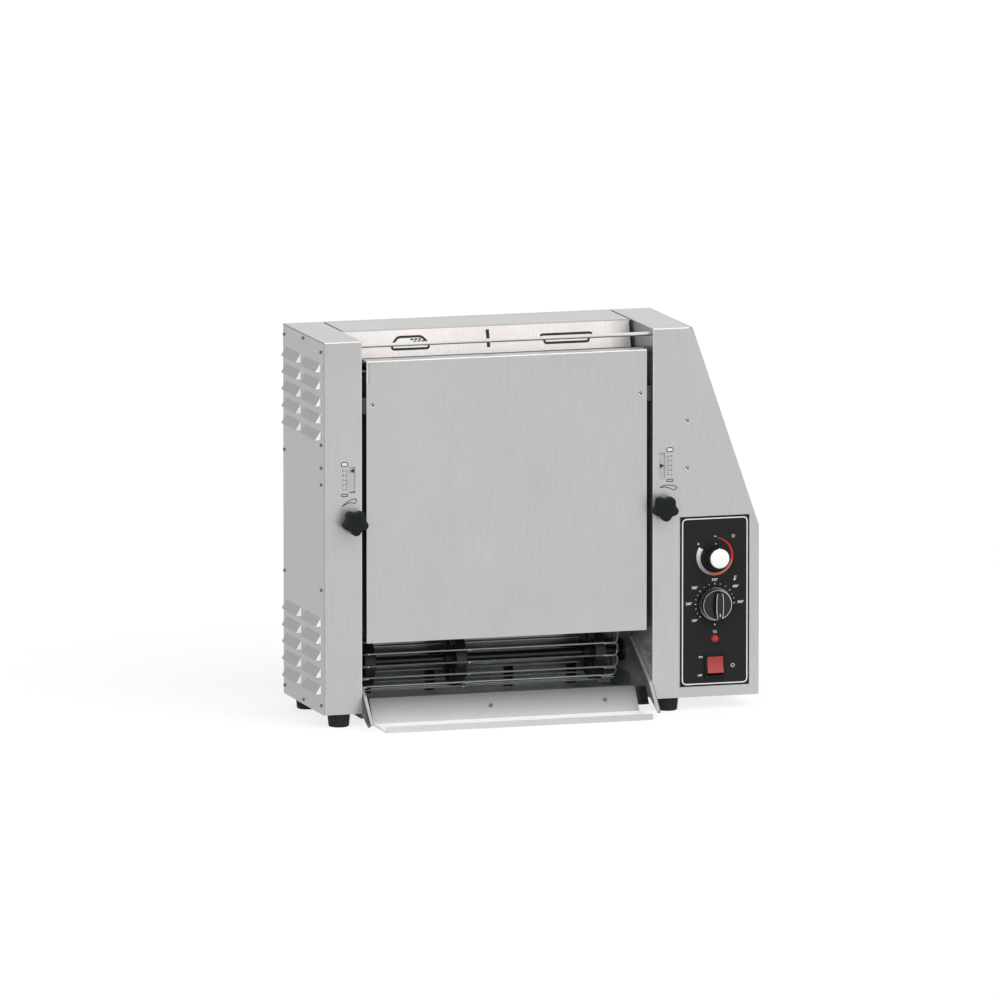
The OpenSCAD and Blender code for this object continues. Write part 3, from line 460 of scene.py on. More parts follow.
def ramped(tree, value, stops):
    """A colour looked up by a value in stops of position and colour."""
    made = tree.nodes.new("ShaderNodeValToRGB")
    elements = made.color_ramp.elements
    while len(elements) < len(stops):
        elements.new(0.5)
    for element, (position, colour) in zip(elements, stops):
        element.position = position
        element.color = (*colour, 1)
    tree.links.new(value, made.inputs["Fac"])
    return made.outputs["Color"]


def surface(name, colour, roughness, metallic=0.0, grain=900, spread=0.06, rough_spread=0.06, bump=0.1,
            specular=0.5, glow=0.0, layer=None):
    """A material whose colour, roughness and relief vary with a fine grain and a broad mottle."""
    made = bpy.data.materials.new(name)
    made.use_nodes = True
    tree = made.node_tree
    shader = tree.nodes["Principled BSDF"]
    shader.inputs["Metallic"].default_value = metallic
    shader.inputs["Specular IOR Level"].default_value = specular
    shader.inputs["Emission Color"].default_value = (1, 1, 1, 1)
    shader.inputs["Emission Strength"].default_value = glow
    where = tree.nodes.new("ShaderNodeTexCoord").outputs["Object"]
    fine = noise(tree, where, grain)
    total = reckoned(tree, "ADD", fine, noise(tree, where, MOTTLE))
    mixed = reckoned(tree, "MULTIPLY", total, 0.5)
    dark = [c * (1 - spread) for c in colour]
    light = [min(1.0, c * (1 + spread)) for c in colour]
    shade = ramped(tree, mixed, list(zip(COLOUR_SPAN, (dark, light))))
    if layer:
        shade = layer(tree, shade)
    tree.links.new(shade, shader.inputs["Base Color"])
    rough_span = (max(ROUGH_LEAST, roughness - rough_spread), roughness + rough_spread)
    tree.links.new(moved(tree, mixed, ROUGH_SPAN, rough_span), shader.inputs["Roughness"])
    relief = tree.nodes.new("ShaderNodeBump")
    relief.inputs["Strength"].default_value = bump
    relief.inputs["Distance"].default_value = BUMP_DEPTH
    tree.links.new(fine, relief.inputs["Height"])
    tree.links.new(relief.outputs["Normal"], shader.inputs["Normal"])
    LOOKS[name] = made


def steel(name, tone, roughness=0.34, grain=BRUSH_UP, metallic=0.65, layer=None):
    """Brushed sheet of a neutral tone."""
    colour = (tone, tone * 1.005, tone * 0.995)
    surface(name, colour, roughness, metallic, grain, spread=0.05, bump=0.08, layer=layer)


def ink(name, colour, **more):
    """A print's matt colour."""
    surface(name, colour, 0.5, bump=0.05, **more)


def graded(read, axis, stops):
    """A layer that multiplies the colour by factors set along an axis of the object's place or normal."""
    low = stops[0][0]
    high = stops[-1][0]

    def layer(tree, shade):
        parts = tree.nodes.new("ShaderNodeSeparateXYZ")
        tree.links.new(read(tree), parts.inputs[0])
        share = moved(tree, parts.outputs[axis], (low, high), (0.0, 1.0))
        factors = []
        for at, factor in stops:
            colour = factor if isinstance(factor, tuple) else (factor, factor, factor)
            factors.append(((at - low) / (high - low), colour))
        product = tree.nodes.new("ShaderNodeMix")
        product.data_type = "RGBA"
        product.blend_type = "MULTIPLY"
        product.inputs["Factor"].default_value = 1.0
        tree.links.new(shade, product.inputs["A"])
        tree.links.new(ramped(tree, share, factors), product.inputs["B"])
        return product.outputs["Result"]

    return layer


def by_place(axis, stops):
    """A layer graded along the frame: stops are millimetres and factors, a factor one number or a colour."""
    read = lambda tree: tree.nodes.new("ShaderNodeTexCoord").outputs["Object"]
    return graded(read, axis, [(ORIGIN[axis] + at * MM, factor) for at, factor in stops])


def by_normal(axis, stops):
    """A layer graded by which way the surface faces; its layers here paint shade and highlight by facing."""
    read = lambda tree: tree.nodes.new("ShaderNodeNewGeometry").outputs["True Normal"]
    return graded(read, axis, stops)


def both(first, second):
    """Two layers, one on the other."""
    return lambda tree, shade: second(tree, first(tree, shade))


# Painted shade: the louvres' upward sloping faces darker than the side sheet
LOUVRE_PAINTED_SHADE = by_normal(UP, [(-1.0, 1.0), (0.35, 1.0), (0.45, 0.76), (1.0, 0.76)])
# Painted shade: the rear panel's inside, facing the front, nearly black
PAINTED_INSIDE_SHADE = by_normal(BACK, [(-1.0, 0.03), (-0.5, 0.03), (-0.3, 1.0), (1.0, 1.0)])
# Painted shade: the crumb pan's front slope darkened
PAN_PAINTED_SHADE = by_place(BACK, [
    (PAN_FRONT, 0.1), (PAN_FRONT + 14, 0.1), (PAN_FRONT + 18, 1.0), (BODY_DEPTH, 1.0),
])
# Painted shade and highlight: the rod darker underneath, lighter on top
ROD_PAINTED_SHADE = by_normal(UP, [(-1.0, 0.12), (-0.5, 0.3), (0.0, 0.9), (1.0, 1.0)])
# Painted shade: upward-facing parts of the screw heads darkened
SCREW_RIM_PAINTED_SHADE = by_normal(UP, [(-1.0, 1.0), (0.05, 1.0), (0.25, 0.1), (1.0, 0.1)])
# Painted shade: the chute's lip darker and cooler than the tray floor
LIP_PAINTED_SHADE = (0.75, 0.784, 0.81)
# Painted reflection and shade: the chute lightest at the tray floor, darkening up the slope to the hump and
# towards the right
CHUTE_PAINTED_SHADE = both(
    by_place(BACK, [
        (CHUTE_FRONT, LIP_PAINTED_SHADE), (CHUTE_FRONT + 1.3, LIP_PAINTED_SHADE), (CHUTE_FRONT + 1.5, 1.0),
        (2.5, 1.0), (4.2, 0.56), (HUMP_D - 1.0, 0.18), (HUMP_D + 10.0, 0.11),
    ]),
    by_place(ACROSS, [(LANE_LEFT, 1.0), (LANE_RIGHT, 0.8)]),
)
# Painted shade: the exit cheeks darker towards the back and the left cheek much darker, with slightly warm
# front tips
CHEEK_TIP_PAINTED_SHADE = (0.62, 0.6, 0.585)
CHEEK_PAINTED_SHADE = both(
    by_place(BACK, [(-36.0, CHEEK_TIP_PAINTED_SHADE), (-6.0, CHEEK_TIP_PAINTED_SHADE), (0.0, 0.6), (91.0, 0.5)]),
    by_place(ACROSS, [(LANE_LEFT, 0.15), (LANE_MID, 0.15), (LANE_MID + 1, 1.0), (LANE_RIGHT, 1.0)]),
)
# Painted shade: the bun slide darker towards its right end
SLIDE_PAINTED_SHADE = by_place(ACROSS, [(LANE_LEFT, 1.0), (398.0, 1.0), (LANE_RIGHT, 0.5)])
# Painted shade: the lane wall darker above 95 mm, lighter near the bottom
LANE_PAINTED_SHADE = by_place(UP, [(0.0, 1.0), (80.0, 1.0), (95.0, 0.5), (470.0, 0.5)])
ARC_SHADE = by_place(UP, [(150.0, 0.3), (172.0, 0.55), (193.0, 1.0)])

steel("tower_steel", 0.535)
steel("side_steel", 0.44, layer=LOUVRE_PAINTED_SHADE)
steel("top_steel", 0.54, grain=BRUSH_BACK)
# Painted highlight: lighter steel for strips along bends
steel("bend_highlight_steel", 0.66)
steel("cover_steel", 0.53)
steel("rear_steel", 0.52, layer=PAINTED_INSIDE_SHADE)
steel("lane_steel", 0.6, 0.2, metallic=0.6, layer=LANE_PAINTED_SHADE)
surface("slide_steel", (0.83, 0.784, 0.755), 0.38, 0.35, BRUSH_SHORT, spread=0.07, bump=0.08,
        layer=SLIDE_PAINTED_SHADE)
steel("chute_steel", 0.97, 0.42, BRUSH_SHORT, 0.2, layer=CHUTE_PAINTED_SHADE)
steel("cheek_steel", 0.5, 0.25, metallic=0.4, layer=CHEEK_PAINTED_SHADE)
steel("flange_steel", 0.48, 0.3, metallic=0.4)
surface("pan_steel", (0.27, 0.295, 0.297), 0.22, 0.75, BRUSH_STREAK, spread=0.5, bump=0.08, layer=PAN_PAINTED_SHADE)
steel("inner_steel", 0.34, 0.35)
surface("bright_steel", (0.72, 0.72, 0.71), 0.16, 0.95, BRUSH_ACROSS, bump=0.04)
surface("rod_steel", (0.8, 0.8, 0.79), 0.2, 0.7, BRUSH_ACROSS, bump=0.04, layer=ROD_PAINTED_SHADE)
# Painted highlight: the screw heads glow faintly and carry painted shade on their upper parts
surface("screw_steel", (0.95, 0.95, 0.94), 0.2, 0.3, 1200, bump=0.06, glow=0.06, layer=SCREW_RIM_PAINTED_SHADE)
surface("dark_screw", (0.16, 0.16, 0.155), 0.32, 0.8, 1200, bump=0.06)
surface("wire_steel", (0.48, 0.49, 0.49), 0.24, 0.5, WIRE_GRAIN, bump=0.05)
# Painted highlight: the knuckles brighter than the wire they belong to
surface("knuckle_highlight_steel", (0.8, 0.81, 0.81), 0.2, 0.9, bump=0.05)
# Painted shade: the drum shafts and wheels nearly black, standing in for the interior's shade
surface("shaft_painted_shade", (0.06, 0.063, 0.063), 0.3, 0.9, BRUSH_ACROSS, bump=0.06)
surface("wheel_painted_shade", (0.035, 0.038, 0.038), 0.4, 0.5, 700, bump=0.12)
surface("dark_steel", (0.05, 0.052, 0.054), 0.42, 0.6, 700, bump=0.15)
surface("platen_metal", (0.28, 0.27, 0.26), 0.5, 0.7, 500, spread=0.12, bump=0.2)
surface("heater_metal", (0.1, 0.09, 0.085), 0.6, 0.5, 400, spread=0.15, bump=0.3)
surface("bronze", (0.07, 0.055, 0.036), 0.45, 0.85, 800, spread=0.1, bump=0.15)
surface("black_rubber", (0.02, 0.025, 0.026), 0.62, grain=1500, bump=0.3, specular=0.15)
surface("knob_black", (0.011, 0.014, 0.015), 0.5, grain=2200, bump=0.25, specular=0.14)
surface("gloss_black", (0.008, 0.008, 0.008), 0.14, bump=0.02, specular=0.4, rough_spread=0.03)
surface("panel_black", (0.023, 0.023, 0.023), 0.5, grain=1800, bump=0.12, specular=0.06)
ink("print_white", (0.85, 0.85, 0.84))
ink("print_red", (0.78, 0.012, 0.016))
ink("print_salmon", (0.56, 0.17, 0.1))
ink("print_grey", (0.9, 0.9, 0.9), layer=ARC_SHADE)
ink("print_dark", (0.03, 0.035, 0.037), specular=0.2)
ink("print_soft", (0.045, 0.038, 0.038), specular=0.2)
ink("seam_grey", (0.16, 0.165, 0.165), specular=0.2)
# Painted light: the white cap glows faintly
surface("cap_white", (0.96, 0.96, 0.95), 0.35, spread=0.02, bump=0.03, glow=0.08)
surface("chrome", (0.78, 0.78, 0.79), 0.08, 1.0, 600, spread=0.02, bump=0.02, rough_spread=0.03)
surface("dark_chrome", (0.16, 0.16, 0.165), 0.12, 1.0, 600, spread=0.05, bump=0.03, rough_spread=0.04)
surface("red_lens", (0.5, 0.035, 0.04), 0.3, grain=300, spread=0.03, bump=0.01, specular=0.3)
surface("red_rocker", (0.41, 0.069, 0.07), 0.4, bump=0.06, specular=0.2)
surface("scale_plate", (0.5, 0.5, 0.49), 0.5)
surface("grey_plastic", (0.36, 0.36, 0.35), 0.5)
surface("board_green", (0.02, 0.12, 0.05), 0.4, grain=300, spread=0.2)
# Painted highlight: near-white steel that glows, for glints on bends, the tray floor and the louvre ends
surface("painted_glint_steel", (0.97, 0.97, 0.97), 0.3, 0.0, BRUSH_UP, spread=0.02, bump=0.02, specular=1.0,
        glow=0.25)

NODE_LOOKS = {
    "tower_steel": ["left_tower_shell", "right_tower_front", "right_tower_back", "right_side_cover"],
    "rear_steel": ["rear_panel"],
    "lane_steel": ["right_tower_wall"],
    "top_steel": ["top_hood", "right_tower_ends"],
    "side_steel": ["left_side_cover"],
    "cover_steel": ["front_cover"],
    "slide_steel": ["bun_slide"],
    "chute_steel": ["exit_chute"],
    "cheek_steel": ["exit_cheeks"],
    "pan_steel": ["crumb_pan"],
    "inner_steel": ["rear_rails", "pointer_guides"],
    "scale_plate": ["left_pointer", "right_pointer"],
    "rod_steel": ["guide_rod"],
    "bright_steel": ["left_adjuster_screw", "right_adjuster_screw", "left_platen_pins", "right_platen_pins"],
    "shaft_painted_shade": ["upper_drum_shaft", "lower_drum_shaft"],
    "platen_metal": ["left_platen", "right_platen"],
    "heater_metal": ["left_heater", "right_heater"],
    "wheel_painted_shade": ["upper_drum_wheels", "lower_drum_wheels"],
    # platen_frame is in dark steel as painted shade over its lit top edge
    "dark_steel": ["driven_sprocket", "motor_sprocket", "drive_chain", "gear_motor", "left_platen_nut",
                   "right_platen_nut", "cover_brackets", "platen_frame"],
    "bronze": ["shaft_bushes"],
    "grey_plastic": ["speed_control", "thermostat_body", "lamp_body"],
    "panel_black": ["control_plate"],
    "knob_black": ["switch_bezel", "cord_gland"],
    "black_rubber": ["feet"],
    "red_lens": ["lamp_lens"],
    "red_rocker": ["switch_rocker"],
    "board_green": ["control_board"],
    "dark_screw": ["chute_screws"],
}

BEVEL_NODES = {
    0.35: ["left_tower_shell", "right_tower_front", "right_tower_ends", "right_side_cover",
           "left_side_cover", "top_hood", "front_cover", "exit_chute", "exit_cheeks", "rear_panel",
           "bun_slide", "control_plate"],
    0.6: ["switch_bezel"],
}


def dress_nodes():
    """Gives every CAD node that stays in view its material."""
    for look, names in NODE_LOOKS.items():
        for name in names:
            mesh = NODES[name].data
            mesh.materials.clear()
            mesh.materials.append(LOOKS[look])


def soften_edges():
    """Rounds the folds and cut edges of the sheets by a small bevel."""
    for width, names in BEVEL_NODES.items():
        for name in names:
            node = NODES[name]
            weld = node.modifiers.new("weld", "WELD")
            weld.merge_threshold = MERGE
            flat = node.modifiers.new("flat", "DECIMATE")
            flat.decimate_type = "DISSOLVE"
            flat.angle_limit = FLAT_ANGLE
            bevel = node.modifiers.new("bevel", "BEVEL")
            bevel.width = width * MM
            bevel.segments = 2
            bevel.limit_method = "ANGLE"
            bevel.angle_limit = BEVEL_ANGLE
            bevel.use_clamp_overlap = True
            even = node.modifiers.new("even", "WEIGHTED_NORMAL")
            even.keep_sharp = False


# Belt

BELT_STRAIGHT = DRUM_HIGH - DRUM_LOW
BELT_LOOP = 2 * BELT_STRAIGHT + math.tau * BELT_R
BELT_PITCH = BELT_LOOP / BELT_WIRES


def on_loop(across, run, lift):
    """A point on the belt, by the distance run round its loop from the lower front, lifted outwards."""
    run %= BELT_LOOP
    reach = BELT_R + lift
    half_turn = math.pi * BELT_R
    if run < BELT_STRAIGHT:
        return place(across, DRUM_D - reach, DRUM_LOW + run)
    run -= BELT_STRAIGHT
    if run < half_turn:
        t = run / BELT_R
        return place(across, DRUM_D - reach * math.cos(t), DRUM_HIGH + reach * math.sin(t))
    run -= half_turn
    if run < BELT_STRAIGHT:
        return place(across, DRUM_D + reach, DRUM_HIGH - run)
    t = (run - BELT_STRAIGHT) / BELT_R
    return place(across, DRUM_D + reach * math.cos(t), DRUM_LOW - reach * math.sin(t))


def end_loop(edge, inward, rise):
    """A wire's end: a turn at the belt's edge and a hook over the neighbour one rise away."""
    cut = math.copysign(LOOP_CUT, rise)
    start = edge + inward * LOOP_CUT
    bend = edge + inward * LOOP_CUT * LOOP_BEND
    return [
        (start, 0.0, 0.0), (bend, LOOP_BEND * cut, 0.0), (edge, cut, 0.0), (edge, rise / 2, HOOK_EARLY),
        (edge, rise - cut, HOOK_LATE), (bend, rise - LOOP_BEND * cut, HOOK_LIFT),
        (start, rise, HOOK_LIFT), (edge + inward * HOOK_IN, rise, HOOK_LIFT),
    ]


def belt_wire(start):
    """One wire's path, straight across, with a hook down at the left edge and up at the right one."""
    path = end_loop(BELT_LEFT, 1, -BELT_PITCH)[::-1] + end_loop(BELT_RIGHT, -1, BELT_PITCH)
    return [on_loop(across, start + run, lift) for across, run, lift in path]


def make_belt():
    wires = Shape()
    knuckles = Shape()
    for i in range(BELT_WIRES):
        start = i * BELT_PITCH
        wires.tube(belt_wire(start), WIRE_R)
        for across in (BELT_LINK, BELT_RIGHT - HOOK_IN, BELT_LEFT + HOOK_IN):
            ends = [on_loop(across + shift, start, HOOK_LIFT / 2) for shift in (-KNUCKLE_HALF, KNUCKLE_HALF)]
            knuckles.tube(ends, KNUCKLE_R, KNUCKLE_SIDES)
    wires.build("belt_wires", "wire_steel", "body", "belt_wire", "wire_belt")
    knuckles.build("belt_knuckles", "knuckle_highlight_steel", "body", "belt_wire")


# Knobs

def star_outline(angle, reach):
    """Radius of a star knob with one lobe pointing down."""
    valley = (1 - math.cos(STAR_LOBES * (angle + math.pi / 2))) / 2
    return reach - STAR_VALLEY * valley ** STAR_POWER * reach / STAR_REACH


def make_star_knob(side):
    shape = Shape()
    shape.turned(ADJUST_X[side], ADJUST_Z, STAR_BASE, STAR_PROFILE, STAR_SIDES, star_outline)
    shape.turned(ADJUST_X[side], ADJUST_Z, STAR_BASE, STAR_HUB, HUB_SIDES)
    shape.build(f"{side}_star_grip", "knob_black", f"{side}_adjuster", "black_plastic", f"{side}_star_knob")


def flute_outline(angle, radius):
    """Radius of the speed knob's grip, scalloped round its rim."""
    scallop = max(0.0, math.cos(FLUTES * angle))
    return radius - FLUTE_DEPTH * scallop ** 2


def knob_mark(shape, height, rise, low, high, width):
    """An upright stroke on a knob of the panel, at a rise from the knob's base."""
    shape.ribbon([(0, low), (0, high)], width, upright(KNOB_BASE - rise, PANEL_X, height))


def make_speed_knob():
    shape = Shape()
    shape.turned(PANEL_X, SPEED_Z, KNOB_BASE, SPEED_SKIRT, SKIRT_SIDES)
    shape.turned(PANEL_X, SPEED_Z, KNOB_BASE, SPEED_GRIP, GRIP_SIDES, flute_outline)
    shape.build("speed_grip", "knob_black", "speed_dial", "black_plastic", "speed_knob")
    cap = Shape()
    cap.turned(PANEL_X, SPEED_Z, KNOB_BASE, SPEED_CAP, CAP_SIDES)
    cap.build("speed_cap", "cap_white", "speed_dial", "white_plastic", "speed_knob_cap")
    mark = Shape()
    for stroke in SPEED_MARKS:
        knob_mark(mark, SPEED_Z, *stroke)
    mark.build("speed_mark", "print_white", "speed_dial", "white_plastic")


def bar_section(rise, half_width, half_length):
    """Outline of the thermostat's grip bar at a rise from its base, with round ends."""
    ring = []
    for t in turns(BAR_SIDES, math.pi / BAR_SIDES):
        across = abs(math.cos(t)) ** BAR_SIDE_POWER * math.copysign(half_width, math.cos(t))
        along = abs(math.sin(t)) ** BAR_END_POWER * math.copysign(half_length, math.sin(t))
        ring.append(place(PANEL_X + across, KNOB_BASE - rise, THERMO_Z + along))
    return ring


def thermostat_trim():
    """Bright lines round the thermostat knob's face and along its grip bar."""
    trim = Shape()
    ring = []
    for t in turns(THERMO_SIDES):
        across = PANEL_X + TRIM_RING_R * math.cos(t)
        ring.append(place(across, KNOB_BASE - TRIM_RING_RISE, THERMO_Z + TRIM_RING_R * math.sin(t)))
    trim.tube(ring, TRIM_RING_WIRE, closed=True)
    for side in (-1, 1):
        edge = []
        for angle in TRIM_EDGE_ANGLES:
            t = math.radians(angle)
            across = PANEL_X + side * TRIM_EDGE_HALF * abs(math.cos(t)) ** BAR_SIDE_POWER
            edge.append(place(across, KNOB_BASE - TRIM_EDGE_RISE, THERMO_Z + TRIM_EDGE_LENGTH * math.sin(t)))
        trim.tube(edge, TRIM_EDGE_WIRE)
    return trim


def make_thermostat_knob():
    skirt = Shape()
    skirt.turned(PANEL_X, THERMO_Z, KNOB_BASE, THERMO_SKIRT, THERMO_SIDES)
    skirt.build("thermostat_skirt", "dark_chrome", "thermostat_dial", "chrome_trim")
    face = Shape()
    face.turned(PANEL_X, THERMO_Z, KNOB_BASE, THERMO_FACE, THERMO_SIDES)
    face.loft([bar_section(*section) for section in THERMO_BAR])
    face.build("thermostat_grip", "gloss_black", "thermostat_dial", "gloss_black", "thermostat_knob")
    thermostat_trim().build("thermostat_trim", "chrome", "thermostat_dial", "chrome_trim")
    mark = Shape()
    knob_mark(mark, THERMO_Z, *THERMO_MARK)
    mark.build("thermostat_mark", "print_white", "thermostat_dial", "white_plastic")


# Screws

def islands(node):
    """Lowest and highest corners of each separate solid in a CAD node."""
    work = bmesh.new()
    work.from_mesh(NODES[node].data)
    bmesh.ops.remove_doubles(work, verts=work.verts, dist=MERGE)
    left = set(work.verts)
    found = []
    while left:
        stack = [left.pop()]
        group = []
        while stack:
            vertex = stack.pop()
            group.append(vertex.co.copy())
            for edge in vertex.link_edges:
                other = edge.other_vert(vertex)
                if other in left:
                    left.remove(other)
                    stack.append(other)
        low = Vector([min(p[i] for p in group) for i in range(3)])
        high = Vector([max(p[i] for p in group) for i in range(3)])
        found.append((low, high))
    work.free()
    return sorted(found, key=lambda pair: tuple(round(c, 5) for c in pair[0]))


def ring_about(seat, out, reach, rise):
    """A ring of points over a seat; reach gives its radius at an angle."""
    side = out.orthogonal().normalized()
    up = out.cross(side)
    ring = []
    for t in turns(SCREW_SIDES):
        ring.append(seat + (side * math.cos(t) + up * math.sin(t)) * reach(t) + out * rise)
    return ring


def screw_head(heads, crosses, seat, out, radius, rise):
    """A domed head on its seat, with a cross recess and the recess's dark floor."""
    def cross_reach(t):
        narrow = max(min(abs(math.cos(t)), abs(math.sin(t))), 1e-3)
        return min(CROSS_REACH * radius, CROSS_HALF * radius / narrow)

    rings = []
    for share, height in SCREW_DOME:
        rings.append(ring_about(seat, out, lambda t: radius * share, rise * height))
    rings.extend(ring_about(seat, out, cross_reach, rise * height) for height in CROSS_RECESS)
    heads.loft(rings)
    crosses.loft([ring_about(seat, out, cross_reach, rise * height) for height in CROSS_FLOOR])


def make_screws(name, node, look, slot, axis, shrink=1.0):
    """Replaces a node's screws by headed ones with a shank, along an axis."""
    heads = Shape()
    crosses = Shape()
    middle = (CAD_BOX[0][axis] + CAD_BOX[1][axis]) / 2
    for low, high in islands(node):
        centre = (low + high) / 2
        forward = centre[axis] < middle
        out = Vector((0, 0, 0))
        out[axis] = -1 if forward else 1
        tip = low[axis] if forward else high[axis]
        seat = centre.copy()
        seat[axis] = tip - out[axis] * SCREW_RISE * MM
        screw_head(heads, crosses, seat, out, (high.z - low.z) / 2 * shrink, SCREW_RISE * MM)
        shank = [seat - out * length * MM for length in (SHANK_GAP, SHANK_LENGTH)]
        heads.tube(shank, SHANK_R, SHANK_SIDES)
    heads.build(f"{name}_heads", look, "body", slot, node)
    crosses.build(f"{name}_crosses", "print_dark", "body", slot)


# Outlines of prints, as shares of a half width and a half height

BOX = ((-1, -1), (1, -1), (1, 1), (-1, 1))
CROWN = ((-1, -1), (1, -1), (1, -0.3), (0.66, 1), (-0.66, 1), (-1, -0.3))
HEEL = ((-0.86, -1), (0.86, -1), (0.9, -0.1), (1, 0.35), (1, 1), (-1, 1), (-1, 0.35), (-0.9, -0.1))
DOME = ((-1, -1), (1, -1), (1, 0.5), (0.7, 1), (-0.7, 1), (-1, 0.5))


def arc(across, height, radius, start, end, count):
    """Points along an arc, in degrees anticlockwise from the right."""
    steps = [math.radians(start + (end - start) * i / (count - 1)) for i in range(count)]
    return [(across + radius * math.cos(t), height + radius * math.sin(t)) for t in steps]


def rounded(points, radius, steps=4):
    """A closed outline of (across, height) pairs with its corners rounded."""
    path = []
    for i, corner in enumerate(points):
        here = Vector(corner)
        before = Vector(points[i - 1]) - here
        after = Vector(points[(i + 1) % len(points)]) - here
        start = here + before.normalized() * min(radius, before.length / 2)
        end = here + after.normalized() * min(radius, after.length / 2)
        for j in range(steps + 1):
            t = j / steps
            path.append(tuple(start * (1 - t) ** 2 + here * 2 * t * (1 - t) + end * t ** 2))
    return path


def scaled(shares, across, height, half_w, half_h):
    """An outline about a place, from shares of its half width and half height."""
    return [(across + u * half_w, height + v * half_h) for u, v in shares]


# Prints on the towers

FRONT_SHEETS = {"left": "left_tower_shell", "right": "right_tower_front"}
SCALE_MARKS = 5
TICK_FROM = 6.0
TICK_LONG = 3.8
TICK_SHORT = 2.0
TICK_W = 0.75
SCALE_CAP = 2.7
SCALE_NUMBER = 12.2
SCALE_ICON = 10.0
THICK_RISE = 8.2
THICK_HALF = (4.0, 2.5)
THICK_ROUND = 1.0
THICK_LINE = 1.1
THIN_DROP = 7.2
THIN_HALF = (4.0, 1.4)
THIN_ROUND = 0.6
THIN_LINE = 1.0
WEDGE = {
    "right": ((-3.4, 0.0), (3.0, 2.4), (9.5, 2.6), (15.0, 1.6), (19.8, -0.9), (15.4, -4.4), (10.5, -1.6),
              (4.0, 0.2)),
    "left": ((-13.5, -6.2), (-8.5, -1.6), (-2.5, 1.8), (4.0, 3.2), (5.8, 1.6), (3.8, -2.8), (-2.5, -1.4),
             (-8.0, -3.2)),
}
WEDGE_Z = {"left": 269.0, "right": 268.6}
WEDGE_ROUND = 1.0
WEDGE_LINE = 0.95


def make_scale(side):
    """Ticks, numbers and pictograms beside a scale window."""
    face = face_of(FRONT_SHEETS[side])
    out = -1 if side == "left" else 1
    middle = ADJUST_X[side]
    step = POINTER_TRAVEL / (SCALE_MARKS - 1)
    shape = Shape()
    for i in range(2 * SCALE_MARKS - 1):
        height = POINTER_TOP - i * step / 2
        length = TICK_SHORT if i % 2 else TICK_LONG
        start = middle + out * TICK_FROM
        shape.ribbon([(start, height), (start + out * length, height)], TICK_W, face)
    number = middle + out * SCALE_NUMBER
    for i in range(SCALE_MARKS):
        shape.lettering(str(SCALE_MARKS - i), face, number, POINTER_TOP - i * step, SCALE_CAP)
    icon = middle + out * SCALE_ICON
    thick = rounded(scaled(DOME, icon, POINTER_TOP + THICK_RISE, *THICK_HALF), THICK_ROUND)
    shape.ribbon(thick, THICK_LINE, face, closed=True)
    low = POINTER_TOP - POINTER_TRAVEL - THIN_DROP
    shape.ribbon(rounded(scaled(DOME, icon, low, *THIN_HALF), THIN_ROUND), THIN_LINE, face, closed=True)
    wedge = [(middle + u, WEDGE_Z[side] + v) for u, v in WEDGE[side]]
    shape.ribbon(rounded(wedge, WEDGE_ROUND), WEDGE_LINE, face, closed=True)
    shape.build(f"{side}_scale_print", "print_soft", "body", "panel_black")
    fill = Shape()
    fill.prism(thick, face, high=PRINT_LIFT / 2)
    fill.build(f"{side}_scale_fill", "print_white", "body", "white_plastic")


def make_pointer(side):
    """The dark triangle in a scale window."""
    out = -1 if side == "left" else 1
    base = ADJUST_X[side] - out * POINTER_HALF
    tip = ADJUST_X[side] + out * POINTER_HALF
    height = POINTER_TOP - POINTER_DROP[side]
    outline = [(base, height - POINTER_HALF), (base, height + POINTER_HALF), (tip, height)]
    shape = Shape()
    shape.prism(outline, upright(POINTER_FACE))
    shape.build(f"{side}_pointer_mark", "print_dark", f"{side}_pointer_slide", "panel_black", smooth=False)


# Prints on the bun slide

CROWN_AT = (138.7, 452.5)
CROWN_HALF = (24.0, 7.4)
CROWN_ROUND = 4.0
HEEL_AT = (343.1, 450.2)
HEEL_HALF = (33.0, 5.2)
HEEL_ROUND = 2.2
DIVIDER_AT = (240.6, 453.8)
DIVIDER_HALF = (2.2, 10.8)
DIVIDER_ROUND = 0.6
SIGN_LINE = 3.0
SEED_ROWS = 2
SEEDS_IN_ROW = 3
SEED_FROM = (2.5, 4.0)
SEED_SHIFT = (3.8, -2.6)
SEED_PITCH = 5.2
SEED_HALF = (2.1, 0.95)
SEED_ROUND = 0.9


def make_slide_prints():
    face = face_of("bun_slide")
    shape = Shape()
    shape.ribbon(rounded(scaled(CROWN, *CROWN_AT, *CROWN_HALF), CROWN_ROUND), SIGN_LINE, face, closed=True)
    for row in range(SEED_ROWS):
        for i in range(SEEDS_IN_ROW):
            across = CROWN_AT[0] + SEED_FROM[0] + SEED_SHIFT[0] * row + SEED_PITCH * i
            height = CROWN_AT[1] + SEED_FROM[1] + SEED_SHIFT[1] * row
            shape.prism(rounded(scaled(BOX, across, height, *SEED_HALF), SEED_ROUND), face)
    shape.ribbon(rounded(scaled(HEEL, *HEEL_AT, *HEEL_HALF), HEEL_ROUND), SIGN_LINE, face, closed=True)
    shape.prism(rounded(scaled(BOX, *DIVIDER_AT, *DIVIDER_HALF), DIVIDER_ROUND), face)
    shape.build("slide_prints", "print_dark", "body", "panel_black")


# Prints on the control plate

